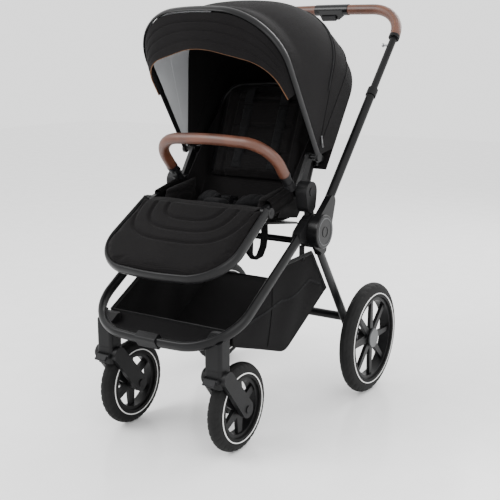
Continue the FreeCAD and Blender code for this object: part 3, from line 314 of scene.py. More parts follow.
PEDAL = moulded_finish("grey_plastic", (0.005, 0.005, 0.0055), (0.010, 0.010, 0.011), 0.5, 0.0, 1200.0, 0.3)
DISC = moulded_finish("hub_disc", (0.0040, 0.0040, 0.0043), (0.0085, 0.0085, 0.0090), 0.32, 0.1)

SLOT_FINISH = {
    "frame_tube": TUBE_BLACK, "bow_tube": TUBE_BLACK, "seat_rails": TUBE_BLACK, "steel": STEEL,
    "black_plastic": PLASTIC, "gloss_black": GLOSS, "hub_disc": DISC, "hub_cap": CAP_GREY,
    "rim_plastic": RIM, "tyre": RUBBER, "bow_plastic": BOW_GREY, "board_plastic": PLASTIC,
    "pedal_plastic": PEDAL, "buckle_plastic": GLOSS, "grip_leather": LEATHER, "bumper_leather": LEATHER,
    "seat_cloth": SEAT_CLOTH, "strap_cloth": STRAP_CLOTH, "canopy_cloth": CANOPY_CLOTH,
    "basket_cloth": BASKET_CLOTH,
}
NODE_FINISH = {"bumper_bar": PLASTIC, "front_axle_right": PLASTIC, "front_axle_left": PLASTIC}
for part in frame["record"]["subparts"]:
    node = frame["nodes"][part["node"]]
    node.data.materials.clear()
    node.data.materials.append(NODE_FINISH.get(part["node"], SLOT_FINISH[part["material_slot"]]))

# ---------------------------------------------------------------- making pieces


def start():
    if bpy.context.object and bpy.context.object.mode != "OBJECT":
        bpy.ops.object.mode_set(mode="OBJECT")
    bpy.ops.object.select_all(action="DESELECT")


def tidy_mesh(obj, merge=True, caps=False):
    """Joins doubled points, closes open ends and turns the faces outwards."""
    bpy.ops.object.mode_set(mode="EDIT")
    bpy.ops.mesh.select_all(action="SELECT")
    if merge:
        bpy.ops.mesh.remove_doubles(threshold=0.00002)
    if caps:
        bpy.ops.mesh.select_all(action="DESELECT")
        bpy.ops.mesh.select_non_manifold()
        bpy.ops.mesh.fill()
        bpy.ops.mesh.select_all(action="SELECT")
    bpy.ops.mesh.normals_make_consistent(inside=False)
    bpy.ops.object.mode_set(mode="OBJECT")


def settle(obj, body, slot, materials, *replaced):
    """Gives a finished piece its materials, its smooth faces and the body it rides on."""
    if len(materials) == 1:
        obj.data.materials.clear()
        obj.data.materials.append(materials[0])
    bpy.ops.object.select_all(action="DESELECT")
    obj.select_set(True)
    bpy.context.view_layer.objects.active = obj
    bpy.ops.object.shade_smooth_by_angle(angle=math.radians(50))
    if body:
        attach(obj, body)
    if replaced:
        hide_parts(*replaced)
    return obj


def grid(name, across, along, place):
    """A sheet of quads, each point put in place by its two shares, with its flat size in its UV map."""
    start()
    bpy.ops.mesh.primitive_grid_add(x_subdivisions=across, y_subdivisions=along, size=2, calc_uvs=True)
    obj = bpy.context.object
    obj.name = name
    shares = [((v.co.x + 1) / 2, (v.co.y + 1) / 2) for v in obj.data.vertices]
    rows = {}
    for vertex, (u, v) in zip(obj.data.vertices, shares):
        vertex.co = place(u, v)
        rows.setdefault(("v", round(v, 5)), []).append((u, vertex.co.copy()))
        rows.setdefault(("u", round(u, 5)), []).append((v, vertex.co.copy()))
    size = {"u": 0.0, "v": 0.0}
    for (kind, _), line in rows.items():
        line = [point for _, point in sorted(line, key=lambda item: item[0])]
        size[kind] = max(size[kind], sum((b - a).length for a, b in zip(line, line[1:])))
    wide, long = size["v"], size["u"]
    for loop in obj.data.loops:
        u, v = shares[loop.vertex_index]
        obj.data.uv_layers[0].data[loop.index].uv = (u * wide, v * long)
    area = sum(face.area for face in obj.data.polygons)
    return obj, wide, long, area


def cloth(
    name, across, along, place, body, slot, materials, replaced=(), thick=CLOTH,
):
    """A sewn sheet: a grid with a thickness, and a second material on its inner side."""
    obj, wide, long, area = grid(name, across, along, place)
    solid = obj.modifiers.new("thickness", "SOLIDIFY")
    solid.thickness = thick
    solid.offset = 0.0
    obj.data.materials.clear()
    for material in materials:
        obj.data.materials.append(material)
    solid.material_offset = len(materials) - 1
    solid.material_offset_rim = 0
    bpy.ops.object.modifier_apply(modifier="thickness")
    tidy_mesh(obj, merge=False)
    settle(obj, body, slot, materials, *replaced)
    long = min(long, area / (SMALLEST_SHARE * wide))
    return obj


def tube(
    name, points, wide, tall, body, slot, material, side=None, sides=12, closed=False, square=2.0,
    replaced=(),
):
    """A round, oval or strap-like tube along points; side is the direction of its width."""
    points = [Vector(p) for p in points]
    count = len(points)
    frames = []
    across = side
    for n in range(count):
        a = points[n - 1] if n or closed else points[0]
        b = points[(n + 1) % count] if n < count - 1 or closed else points[-1]
        ahead = (b - a).normalized()
        if side is None:
            across = ahead.orthogonal() if across is None else across
        lateral = (across - ahead * across.dot(ahead)).normalized()
        if side is None:
            across = lateral
        frames.append((lateral, ahead.cross(lateral)))

    def place(u, v):
        n = round(v * (count if closed else count - 1)) % count
        turn = 2 * math.pi * u
        c, s = math.cos(turn), math.sin(turn)
        x = math.copysign(abs(c) ** (2 / square), c) * wide
        y = math.copysign(abs(s) ** (2 / square), s) * tall
        return points[n] + frames[n][0] * x + frames[n][1] * y

    obj, *_ = grid(name, sides, count if closed else count - 1, place)
    tidy_mesh(obj, caps=not closed)
    return settle(obj, body, slot, [material], *replaced)


def sample(line, count, place, first=0.0, last=1.0):
    """Points in space along a flat outline."""
    return [place(*line(mix(first, last, n / count))) for n in range(count + 1)]


def join(name, pieces):
    bpy.ops.object.select_all(action="DESELECT")
    for piece in pieces:
        piece.select_set(True)
    bpy.context.view_layer.objects.active = pieces[0]
    bpy.ops.object.join()
    pieces[0].name = name
    return pieces[0]


def stitches(name, points, body, slot, material, length=0.0042, gap=0.0034, radius=0.00055):
    """A row of short sewn stitches along a line of points."""
    line = Line([tuple(p) for p in points])
    count = int(line.length / (length + gap))
    made = []
    for n in range(count):
        a = Vector(line((n * (length + gap)) / line.length))
        b = Vector(line((n * (length + gap) + length) / line.length))
        start()
        bpy.ops.mesh.primitive_cylinder_add(
            vertices=6, radius=radius, depth=(b - a).length, location=(a + b) / 2,
        )
        piece = bpy.context.object
        piece.rotation_mode = "QUATERNION"
        piece.rotation_quaternion = (b - a).to_track_quat("Z", "Y")
        bpy.ops.object.transform_apply(location=True, rotation=True, scale=True)
        made.append(piece)
    obj = join(name, made)
    return settle(obj, body, slot, [material])


# ---------------------------------------------------------------- canopy

MID_ANGLE = (54.0, 88.0)
FRONT_ANGLE = (69.5, BOW_ANGLE - 1.0)
FLARE_FROM = BOW_ANGLE - 14.0
LAYER = 0.003


def front_cloth(u, v, inset=0.0):
    angle = mix(FRONT_ANGLE[1], FRONT_ANGLE[0], v)
    lift = smooth((angle - FLARE_FROM) / (FRONT_ANGLE[1] - FLARE_FROM))
    flare = lift * (BOW_REACH - CANOPY_REACH)
    x, along = canopy_line_cached(round(flare, 5), inset)(1 - u)
    top = smooth((along - 0.12) / 0.2)
    dip = 0.0018 * math.sin(math.pi * v) * top * (1 + 0.5 * math.sin(9 * u + 2))
    pull = 0.0006 * math.sin(60 * u + 5 * v) * ridge(v, 0.25) * top
    return plane(HINGE, angle, x, along - dip + pull)


LINES = {}


def canopy_line_cached(flare, inset=0.0):
    key = (flare, inset)
    if key not in LINES:
        LINES[key] = canopy_line(inset + CLOTH / 2, CANOPY_REACH + flare)
    return LINES[key]


def mid_cloth(u, v):
    angle = mix(MID_ANGLE[1], 52.0, v)
    x, along = canopy_line_cached(0.0, LAYER)(u)
    top = smooth((along - 0.12) / 0.2)
    return plane(HINGE, angle, x, along - 0.0015 * math.sin(math.pi * v) * top)


cloth(
    "canopy_front_cloth", 96, 40, front_cloth, "canopy_front", "canopy_cloth", [CANOPY_CLOTH, LINING],
    ["canopy_front_panel"],
)
cloth(
    "canopy_mid_cloth", 96, 34, mid_cloth, "canopy_mid", "canopy_cloth", [CANOPY_CLOTH],
    ["canopy_mid_panel", "canopy_mid_bow"],
)

WALL_FOOT = (HINGE[0] + 0.092, HINGE[1] + 0.014)
WALL_ANGLE = 55.6
WALL_OFF = 0.068


def wall_meets(reach):
    """The angle at which the arch runs into the slanting back wall."""
    return max(9.0, WALL_ANGLE - math.degrees(math.asin(min(1.0, WALL_OFF / max(reach, WALL_OFF)))))


def hood_cloth(u, v):
    x, along = canopy_line_cached(0.0, 2 * LAYER)(u)
    reach = math.hypot(0.0, along)
    angle = mix(56.5, wall_meets(reach), v)
    return plane(HINGE, angle, x, along)


REAR_LINE = canopy_line_cached(0.0, 2 * LAYER)
EDGE = []
for n in range(61):
    x, along = REAR_LINE(0.5 * n / 60)
    at = plane(HINGE, wall_meets(along), x, along)
    down = (at.y - WALL_FOOT[0]) * unit(WALL_ANGLE).y + (at.z - WALL_FOOT[1]) * unit(WALL_ANGLE).z
    if not EDGE or down > EDGE[-1][0] + 1e-6:
        EDGE.append((down, x, at))


def wall_half(down):
    for (a, xa, _), (b, xb, _) in zip(EDGE, EDGE[1:]):
        if a <= down <= b:
            return mix(xa, xb, (down - a) / (b - a))
    return EDGE[-1][1] if down > EDGE[-1][0] else EDGE[0][1]


def wall_cloth(u, v):
    low, high = EDGE[0][0], EDGE[-1][0]
    down = mix(low, high, 1 - (1 - v) ** 1.35)
    across = 2 * u - 1
    bulge = 0.013 * (1 - across ** 4) * math.sin(math.pi * min(1.0, v * 1.02)) ** 0.8
    crease = 0.0012 * math.sin(14 * across + 6 * v) * math.sin(math.pi * v)
    return plane(WALL_FOOT, WALL_ANGLE, wall_half(down) * across, down, -bulge - crease)


cloth(
    "canopy_hood_cloth", 96, 14, hood_cloth, "backrest", "canopy_cloth", [CANOPY_CLOTH],
    ["canopy_rear_panel"],
)
cloth(
    "canopy_back_cloth", 40, 44, wall_cloth, "backrest", "canopy_cloth", [CANOPY_CLOTH],
)
rim = [at for _, _, at in EDGE]
rim += [Vector((-at.x, at.y, at.z)) for _, _, at in reversed(EDGE[:-1])]
tube("canopy_back_piping", rim, 0.0012, 0.0012, "backrest", "canopy_cloth", CANOPY_CLOTH, sides=8)

for name, body, angle, inset, flare in (
    ("canopy_seam_front", "canopy_front", FRONT_ANGLE[0] + 0.3, -0.0004, 0.0),
    ("canopy_seam_mid", "canopy_mid", MID_ANGLE[0] - 1.4, LAYER - 0.0006, 0.0),
):
    line = canopy_line(inset, CANOPY_REACH + flare)
    points = sample(line, 90, lambda x, along: plane(HINGE, angle, x, along), 0.03, 0.97)
    tube(name, points, 0.0012, 0.0007, body, "canopy_cloth", CANOPY_CLOTH, sides=8)

LINING_SEAM = (FRONT_ANGLE[1] - FLARE_FROM + 3.0) / (FRONT_ANGLE[1] - FRONT_ANGLE[0])
row = [front_cloth(mix(0.03, 0.97, n / 90), LINING_SEAM, 0.0008) for n in range(91)]
tube("canopy_lining_seam", row, 0.0012, 0.0006, "canopy_front", "canopy_cloth", LINING, sides=8)

# the zip that lets the rear part of the canopy open
ZIP_ANGLE = 72.0
zip_points = sample(
    canopy_line(-0.0006), 80, lambda x, along: plane(HINGE, ZIP_ANGLE, x, along), 0.16, 0.84,
)
tube(
    "canopy_zip_tape", zip_points, 0.0042, 0.0009, "canopy_front", "canopy_cloth", STRAP_CLOTH,
    side=unit(ZIP_ANGLE + 90), sides=12, square=3.0,
)
stitches("canopy_zip_teeth", sample(
    canopy_line(-0.0016), 120, lambda x, along: plane(HINGE, ZIP_ANGLE, x, along), 0.165, 0.835,
), "canopy_front", "canopy_cloth", THREAD, 0.0022, 0.0018, 0.0007)

for side, label in SIDES:
    hang = plane(HINGE, ZIP_ANGLE, side * (CANOPY_HALF + 0.0022), 0.052)
    pull = [hang + Vector((side * 0.0006 * n, 0.0004 * n, -0.0055 * n)) for n in range(6)]
    tube(
        f"canopy_zip_pull_{label}", pull, 0.0030, 0.0010, "canopy_front", "canopy_cloth", STEEL, side=AHEAD,
        square=3.5,
    )

# ---------------------------------------------------------------- visor

VISOR_TOP = canopy_line(CLOTH / 2, BOW_REACH, 0.184)
VISOR_RIM = u_line(CANOPY_HALF - 0.009, CANOPY_HALF - 0.020, 0.324, 0.090, 0.042, 0.184)
VISOR_ANGLES = (BOW_ANGLE + 1.2, 131.0)
VISOR_CHANNELS = (0.27, 0.52, 0.77)


def visor_point(u, v, puff=0.0):
    x0, along0 = VISOR_TOP(u)
    x1, along1 = VISOR_RIM(u)
    top, low = plane(HINGE, VISOR_ANGLES[0], x0, along0), plane(HINGE, VISOR_ANGLES[1], x1, along1)
    point = top.lerp(low, v)
    out = Vector((point.x * 0.5, -0.62, 0.78)).normalized()
    ends = smooth(min(u, 1 - u) / 0.12)
    belly = 0.006 * math.sin(math.pi * v) * ends
    sewn = sum(ridge(v - c, 0.035) for c in VISOR_CHANNELS) * 0.0035 * ends
    return point + out * (belly - sewn + puff)


cloth(
    "canopy_visor_cloth", 110, 44, visor_point, "canopy_front", "canopy_cloth", [CANOPY_CLOTH],
    ["canopy_visor"], thick=0.003,
)
rim_points = [visor_point(n / 90, 1.0) for n in range(91)]
tube("canopy_visor_piping", rim_points, 0.0013, 0.0013, "canopy_front", "canopy_cloth", PIPING, sides=10)
for n, channel in enumerate(VISOR_CHANNELS):
    row = [visor_point(mix(0.06, 0.94, k / 120), channel, 0.0018) for k in range(121)]
    stitches(
        f"canopy_visor_stitches_{n + 1}", row, "canopy_front", "canopy_cloth", THREAD, 0.0040, 0.0030,
        0.0005,
    )

# ---------------------------------------------------------------- padded pieces


PAD_PRESSURE = 4.0
SWELL_FRAMES = 20
VOXEL = 0.005


def swell(obj, cap, voxel=VOXEL):
    """Remeshes a closed pad and lets cloth pressure round it, no point moving further than cap."""
    remesh = obj.modifiers.new("remesh", "REMESH")
    remesh.mode = "VOXEL"
    remesh.voxel_size = voxel
    bpy.ops.object.modifier_apply(modifier="remesh")
    before = [v.co.copy() for v in obj.data.vertices]
    soft = obj.modifiers.new("cloth", "CLOTH")
    soft.settings.use_pressure = True
    soft.settings.uniform_pressure_force = PAD_PRESSURE
    soft.settings.effector_weights.gravity = 0.0
    soft.settings.quality = 5
    scene = bpy.context.scene
    for step in range(1, SWELL_FRAMES + 1):
        scene.frame_set(step)
    bpy.ops.object.modifier_apply(modifier="cloth")
    scene.frame_set(1)
    for vertex, old in zip(obj.data.vertices, before):
        move = vertex.co - old
        if move.length > cap:
            vertex.co = old + move.normalized() * cap


def cushion(name, cuts, place, cap, shape, body, slot, materials, *replaced, fill=0.6):
    """A pad from a cube: divided, put in place, swollen by cloth pressure, then sewn by shape."""
    start()
    bpy.ops.mesh.primitive_cube_add(size=2)
    obj = bpy.context.object
    obj.name = name
    bpy.ops.object.mode_set(mode="EDIT")
    bpy.ops.mesh.subdivide(number_cuts=cuts)
    bpy.ops.object.mode_set(mode="OBJECT")
    for vertex in obj.data.vertices:
        vertex.co = place(*vertex.co)
    swell(obj, cap)
    divide = obj.modifiers.new("finer", "SUBSURF")
    divide.levels = divide.render_levels = 1
    bpy.ops.object.modifier_apply(modifier="finer")
    for vertex in obj.data.vertices:
        vertex.co = shape(vertex.co)
    tidy_mesh(obj)
    settle(obj, body, slot, materials, *replaced)
    return obj


def rounded_section(u, v, w, power=4.0):
    """Draws a cube's sides in so that its faces meet in soft edges: returns the share of its thickness."""
    return max(0.0, (1 - abs(u) ** power)) ** 0.5 * max(0.0, (1 - abs(v) ** power)) ** 0.5


def to_plane(origin, angle, point):
    """Across, along and above, of a point of space on a sloping plane."""
    rest = Vector((0, point.y - origin[0], point.z - origin[1]))
    return point.x, rest.dot(unit(angle)), rest.dot(unit(angle + 90))


# backrest pad with sewn channels
BACK_HALF, BACK_LOW, BACK_HIGH = 0.139, 0.004, 0.250
BACK_CHANNEL, BACK_CHANNEL_WIDE = 0.092, 0.005
BACK_ROWS, BACK_ROW_WIDE = (0.075, 0.145, 0.215), 0.0045


def back_place(u, v, w):
    thick = 0.004 + 0.017 * rounded_section(u, v, w)
    along = mix(BACK_LOW, BACK_HIGH, (v + 1) / 2)
    return plane(BACK_FOOT, BACK_ANGLE, u * BACK_HALF, along, 0.014 + w * thick / 2)


def back_sewn(point):
    x, along, above = to_plane(BACK_FOOT, BACK_ANGLE, point)
    if above > 0.012:
        lines = [ridge(abs(x) - BACK_CHANNEL, BACK_CHANNEL_WIDE)]
        if abs(x) < BACK_CHANNEL:
            lines += [ridge(along - row, BACK_ROW_WIDE) for row in BACK_ROWS]
        above -= 0.0055 * max(lines)
    return plane(BACK_FOOT, BACK_ANGLE, x, along, max(above, 0.0035))


cushion(
    "backrest_cushion", 22, back_place, 0.008, back_sewn, "backrest", "seat_cloth", [SEAT_CLOTH],
    "backrest_pad",
)

# seat cushion with side bolsters
SEAT_FRONT = (LEG_AXIS[0] + 0.004, LEG_AXIS[1] - 0.0245)
SEAT_ANGLE = math.degrees(math.atan2(-0.024, 0.165))
SEAT_LONG = 0.166
SEAT_PAD_HALF, SEAT_CHANNEL, SEAT_FOLD, CHANNEL_WIDE = 0.143, 0.088, 0.085, 0.005
BOLSTER_OUT = 0.133


def seat_place(u, v, w):
    thick = 0.006 + 0.018 * rounded_section(u, v, w)
    along = mix(0.002, SEAT_LONG - 0.002, (v + 1) / 2)
    return plane(SEAT_FRONT, SEAT_ANGLE, u * SEAT_PAD_HALF, along, 0.013 + w * thick / 2)


def seat_sewn(point):
    x, along, above = to_plane(SEAT_FRONT, SEAT_ANGLE, point)
    if above > 0.012:
        sides = ridge(abs(x) - SEAT_CHANNEL, CHANNEL_WIDE)
        fold = ridge(along - SEAT_FOLD, CHANNEL_WIDE) * (abs(x) < SEAT_CHANNEL)
        above -= 0.005 * max(sides, fold)
    return plane(SEAT_FRONT, SEAT_ANGLE, x, along, max(above, 0.001))


cushion("seat_cushion", 22, seat_place, 0.006, seat_sewn, "chassis", "seat_cloth", [SEAT_CLOTH], "seat_pad")

for side, label in SIDES:
    def bolster_place(u, v, w, side=side):
        share = (v + 1) / 2
        low = plane(SEAT_FRONT, SEAT_ANGLE, 0, mix(0.012, 0.128, share), 0.012)
        high = SEAT_AXIS[1] + mix(-0.006, 0.012, share)
        z = mix(low.z, high, (w + 1) / 2)
        puff = 0.004 + 0.009 * rounded_section(v, w, u, 3.0)
        return Vector((side * BOLSTER_OUT + u * puff, low.y + 0.004 * w, z))

    def bolster_sewn(point, side=side):
        groove = 0.003 * ridge(point.z - SEAT_AXIS[1] + 0.016, 0.004)
        inner = 1 if (point.x - side * BOLSTER_OUT) > 0 else -1
        return Vector((point.x - inner * groove, point.y, point.z))

    cushion(
        f"seat_bolster_{label}", 14, bolster_place, 0.004, bolster_sewn, "chassis", "seat_cloth",
        [SEAT_CLOTH],
    )

# leg-rest cover with its channels in rings
LEG_ORIGIN = tuple(Vector((LEG_AXIS[0], LEG_AXIS[1])) - Vector(unit(FRAME_SLOPE + 90).yz) * 0.0076)
LEG_HALF, LEG_FRONT, LEG_BACK, LEG_CORNER = 0.1820, 0.2415, 0.006, 0.094
RINGS = (1.0, 0.76, 0.52)
RING_HALF, RING_FRONT, RING_POWER = 0.152, 0.150, 3.2


def leg_half(along):
    half = mix(0.1715, LEG_HALF, along / LEG_FRONT)
    over = along - (LEG_FRONT - LEG_CORNER)
    if over > 0:
        half = half - LEG_CORNER + math.sqrt(max(0.0, LEG_CORNER ** 2 - over ** 2))
    return half


def ring_level(x, along):
    """1 on the outermost sewn channel, less inside it."""
    wide, long = abs(x) / RING_HALF, max(0.0, along) / RING_FRONT
    return (wide ** RING_POWER + long ** RING_POWER) ** (1 / RING_POWER)


def leg_place(u, v, w):
    share = (v + 1) / 2
    along = mix(LEG_BACK, LEG_FRONT, share)
    thick = 0.005 + 0.013 * max(0.0, 1 - abs(u) ** 4) ** 0.5 * max(0.0, 1 - abs(v) ** 4) ** 0.5
    return plane(LEG_ORIGIN, FRAME_SLOPE, u * leg_half(along), along, -0.006 + w * thick / 2)


def leg_sewn(point):
    x, along, above = to_plane(LEG_ORIGIN, FRAME_SLOPE, point)
    if above < -0.006:
        above += 0.0048 * max(ridge((ring_level(x, along) - d) * RING_FRONT, 0.0045) for d in RINGS)
    return plane(LEG_ORIGIN, FRAME_SLOPE, x, along, min(above, 0.006))


cushion(
    "legrest_cushion", 30, leg_place, 0.006, leg_sewn, "legrest", "seat_cloth", [SEAT_CLOTH],
    "legrest_cover",
)


APRON_HALF = 0.150


def apron_cloth(u, v):
    """Cloth that rolls over the front rail from the seat cushion to the leg rest."""
    back = plane(SEAT_FRONT, SEAT_ANGLE, 0, 0.034, 0.0250)
    over = Vector((0, LEG_AXIS[0] + 0.004, LEG_AXIS[1] + 0.019))
    front = plane(LEG_ORIGIN, FRAME_SLOPE, 0, 0.040, -0.0150)
    point = back.lerp(over, v).lerp(over.lerp(front, v), v)
    ripple = 0.001 * math.sin(14 * u) * math.sin(math.pi * v)
    return Vector((mix(-APRON_HALF, APRON_HALF, u), point.y, point.z + ripple))


front_apron = cloth(
    "seat_front_apron", 20, 16, apron_cloth, None, "seat_cloth", [SEAT_CLOTH],
)
tuple(plane(SEAT_FRONT, SEAT_ANGLE, 0, 0.004))
tuple(plane(LEG_ORIGIN, FRAME_SLOPE, 0, 0.040))
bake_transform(front_apron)

# cloth that closes the seat to the backrest, behind and at both sides


def crease_cloth(u, v):
    low = plane(SEAT_FRONT, SEAT_ANGLE, 0, SEAT_LONG - 0.006, 0.010)
    high = plane(BACK_FOOT, BACK_ANGLE, 0, 0.030, 0.006)
    point = low.lerp(high, v)
    across = 2 * u - 1
    return Vector((across * 0.1475, point.y + 0.010 * math.sin(math.pi * v) * (1 - across ** 4), point.z))


crease = cloth(
    "seat_crease_cloth", 24, 18, crease_cloth, None, "seat_cloth", [SEAT_CLOTH],
)
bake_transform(crease)
for side, label in SIDES:
    def wing_cloth(u, v, side=side):
        low = plane(SEAT_FRONT, SEAT_ANGLE, 0, mix(0.070, 0.162, u), 0.010)
        high = plane(BACK_FOOT, BACK_ANGLE, 0, mix(0.250, 0.020, u), -0.004)
        front = Vector((0, SEAT_AXIS[0] + 0.006, SEAT_AXIS[1] + 0.040))
        point = low.lerp(high, v)
        point = point.lerp(low.lerp(front, v).lerp(front.lerp(high, v), v), 1 - u)
        return Vector((side * (0.1465 + 0.003 * math.sin(math.pi * v)), point.y, point.z))

    wing = cloth(
        f"seat_wing_{label}", 18, 26, wing_cloth, None, "seat_cloth", [SEAT_CLOTH],
    )
    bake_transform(wing)
    rail_run = [
        Vector((
            side * 0.158, mix(LEG_AXIS[0] + 0.018, SEAT_AXIS[0] - 0.024, n / 12),
            mix(LEG_AXIS[1] + 0.004, SEAT_AXIS[1] - 0.006, n / 12),
        ))
        for n in range(13)
    ]
    tube(
        f"seat_rail_sleeve_{label}", rail_run, 0.0092, 0.0205, "chassis", "seat_cloth", SEAT_CLOTH,
        side=ACROSS, sides=24, square=2.6,
    )


BACK_CLOTH_HALF = 0.149


def back_cloth(u, v):
    across = 2 * u - 1
    along = mix(0.010, 0.259, v)
    belly = 0.005 * (1 - across ** 4) * math.sin(math.pi * v)
    return plane(BACK_FOOT, BACK_ANGLE, across * BACK_CLOTH_HALF, along, -0.0045 - belly)


cloth(
    "backrest_back_cloth", 26, 26, back_cloth, "backrest", "seat_cloth", [SEAT_CLOTH],
    thick=0.0018,
)

# harness
SHOULDER_OUT = 0.052
WEB_HALF, WEB_THICK = 0.0125, 0.0012
for side, label in SIDES:
    def strap_place(u, v, w, side=side):
        along = mix(0.030, 0.205, (v + 1) / 2)
        thick = 0.003 + 0.0045 * rounded_section(u, v, w, 5.0)
        return plane(BACK_FOOT, BACK_ANGLE, side * SHOULDER_OUT + u * 0.018, along, 0.0315 + w * thick / 2)

    def strap_sewn(point, side=side):
        x, along, above = to_plane(BACK_FOOT, BACK_ANGLE, point)
        if above > 0.032:
            rows = ridge((along - 0.030) % 0.029 - 0.0145, 0.0024)
            edges = ridge(abs(x - side * SHOULDER_OUT) - 0.014, 0.0016)
            above -= 0.0022 * max(rows, edges)
        return plane(BACK_FOOT, BACK_ANGLE, x, along, above)

    cushion(
        f"shoulder_pad_{label}", 18, strap_place, 0.003, strap_sewn, "backrest", "strap_cloth", [STRAP_CLOTH],
        *(["shoulder_straps"] if side > 0 else []), fill=0.4,
    )
    top = [plane(BACK_FOOT, BACK_ANGLE, side * SHOULDER_OUT, s, 0.0355) for s in (0.2, 0.214, 0.228, 0.240)]
    top.append(plane(BACK_FOOT, BACK_ANGLE, side * SHOULDER_OUT, 0.246, 0.020))
    tube(
        f"shoulder_web_{label}", top, 0.0125, 0.0011, "backrest", "strap_cloth", STRAP_CLOTH, side=ACROSS,
        square=4.0,
    )

buckle_low, buckle_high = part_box("harness_buckle")
buckle_y, buckle_z = (buckle_low[1] + buckle_high[1]) / 2, buckle_low[2]


def seat_top(y, lift=0.0):
    share = (y - SEAT_FRONT[0]) / (SEAT_LONG * math.cos(math.radians(SEAT_ANGLE)))
    return SEAT_FRONT[1] - 0.024 * share + 0.0275 + lift


crotch_run = (SEAT_FRONT[0] + 0.020, SEAT_FRONT[0] + 0.034, buckle_low[1] - 0.004, buckle_low[1] + 0.006)
crotch = [(0.0, y, seat_top(y, 0.0015)) for y in crotch_run]
tube(
    "crotch_strap", crotch, WEB_HALF, WEB_THICK, "chassis", "strap_cloth", STRAP_CLOTH, side=ACROSS,
    square=4.0,
)
for side, label in SIDES:
    waist = [
        (side * 0.022, buckle_y, buckle_z + 0.008),
        (side * 0.045, buckle_y + 0.012, seat_top(buckle_y + 0.012, 0.004)),
        (side * 0.080, buckle_y + 0.030, seat_top(buckle_y + 0.030, 0.002)),
        (side * 0.116, buckle_y + 0.046, seat_top(buckle_y + 0.046, 0.003)),
    ]
    tube(
        f"waist_strap_{label}", waist, 0.0115, 0.0012, "chassis", "strap_cloth", STRAP_CLOTH,
        side=Vector((0, 1, 0.15)), square=4.0,
    )

for side, label in SIDES:
    def hip_place(u, v, w, side=side):
        x = side * mix(0.030, 0.108, (v + 1) / 2)
        y = buckle_y + 0.006 + 0.040 * (v + 1) / 2
        puff = 0.004 + 0.007 * rounded_section(u, v, w, 3.5)
        lean = Vector((0, u * 0.019, u * 0.006))
        lift = 0.010 + 0.006 * math.sin(math.pi * (v + 1) / 2)
        return Vector((x, y, seat_top(y, lift))) + lean + Vector((0, 0, w * puff))

    def hip_sewn(point, side=side):
        return point - Vector((0, 0, 0.002 * ridge((abs(point.x) - 0.030) % 0.026 - 0.013, 0.0025)))

    cushion(
        f"hip_pad_{label}", 16, hip_place, 0.003, hip_sewn, "chassis", "strap_cloth", [STRAP_CLOTH],
        fill=0.5,
    )


def crotch_place(u, v, w):
    y = mix(SEAT_FRONT[0] + 0.012, buckle_low[1] + 0.004, (v + 1) / 2)
    puff = 0.003 + 0.006 * rounded_section(u, v, w, 3.5)
    return Vector((u * 0.024, y, seat_top(y, 0.008) + w * puff))


cushion(
    "crotch_pad", 16, crotch_place, 0.003, lambda point: point, "chassis", "strap_cloth", [STRAP_CLOTH],
    fill=0.5,
)
loop = [(0.100, HUB[0] + y, HUB[1] + z) for y, z in (
    (-0.052, 0.022), (-0.050, -0.010), (-0.056, -0.040), (-0.072, -0.060), (-0.098, -0.063), (-0.116, -0.046),
    (-0.114, -0.016), (-0.104, 0.024),
)]
tube("seat_pull_strap", loop, 0.0100, 0.0012, "chassis", "strap_cloth", STRAP_CLOTH, side=ACROSS, square=4.0)

# ---------------------------------------------------------------- leather grips and bumper

HANDLE_ORIGIN = tuple(Vector(HUB) + Vector(unit(HANDLE_SLOPE + 90).yz) * 0.010)
HANDLE_LINE = u_line(0.217, 0.217, 0.695, 0.097, 0.0026, 0.598)


def handle_point(x, along, above=0.0):
    return plane(HANDLE_ORIGIN, HANDLE_SLOPE, x, along, above)


def share_at(line, across):
    """The share of a U at which it crosses to that distance from the middle, on its right side."""
    low, high = 0.0, 0.5
    for _ in range(40):
        share = (low + high) / 2
        if line(share)[0] > across:
            low = share
        else:
            high = share
    return low


grip_end = share_at(HANDLE_LINE, 0.0505)
for side, label in SIDES:
    ends = (0.0, grip_end) if side > 0 else (1.0, 1.0 - grip_end)
    run = sample(HANDLE_LINE, 48, handle_point, *ends)
    tube(
        f"handle_grip_{label}", run, 0.0137, 0.0137, "handle_upper", "grip_leather", LEATHER, sides=24,
        replaced=["handle_grips"] if side > 0 else [],
    )
    under = sample(HANDLE_LINE, 60, lambda x, along: handle_point(x, along, 0.0139), *ends)
    stitches(
        f"handle_stitches_{label}", under, "handle_upper", "grip_leather", TAN_THREAD, 0.0045, 0.0030,
        0.0007,
    )

BUMPER_ORIGIN = (SEAT_AXIS[0] - 0.025, SEAT_AXIS[1] + 0.0086)
BUMPER_LINE = u_line(0.162, 0.162, 0.150, 0.072, 0.008, 0.044)


def bumper_point(x, along, above=0.0):
    return plane(BUMPER_ORIGIN, 131.0, x, along, above)


tube(
    "bumper_leather", sample(
        BUMPER_LINE, 90, bumper_point,
    ), 0.0132, 0.0132, "bumper", "bumper_leather", LEATHER, sides=24,
    replaced=["bumper_cover"],
)
inside = u_line(0.1486, 0.1486, 0.1366, 0.0586, 0.008, 0.046)
stitches(
    "bumper_stitches", sample(inside, 90, bumper_point, 0.01, 0.99), "bumper", "bumper_leather", TAN_THREAD,
    0.0045, 0.0030, 0.0007,
)
for side, label in SIDES:
    ring = [bumper_point(side * 0.162, s) for s in (0.041, 0.044, 0.047)]
    tube(f"bumper_ring_{label}", ring, 0.0138, 0.0138, "bumper", "black_plastic", PLASTIC, sides=24)

# ---------------------------------------------------------------- wheels


WHEELS = (("front", 0.102, 0.035, 0.070, 0.079), ("rear", 0.145, 0.037, 0.109, 0.1185))
HUB_RINGS = (("ring", 0.0315, 0.0016, 0.0012, CAP_GREY), ("inner_ring", 0.012, 0.0010, 0.0010, PLASTIC))


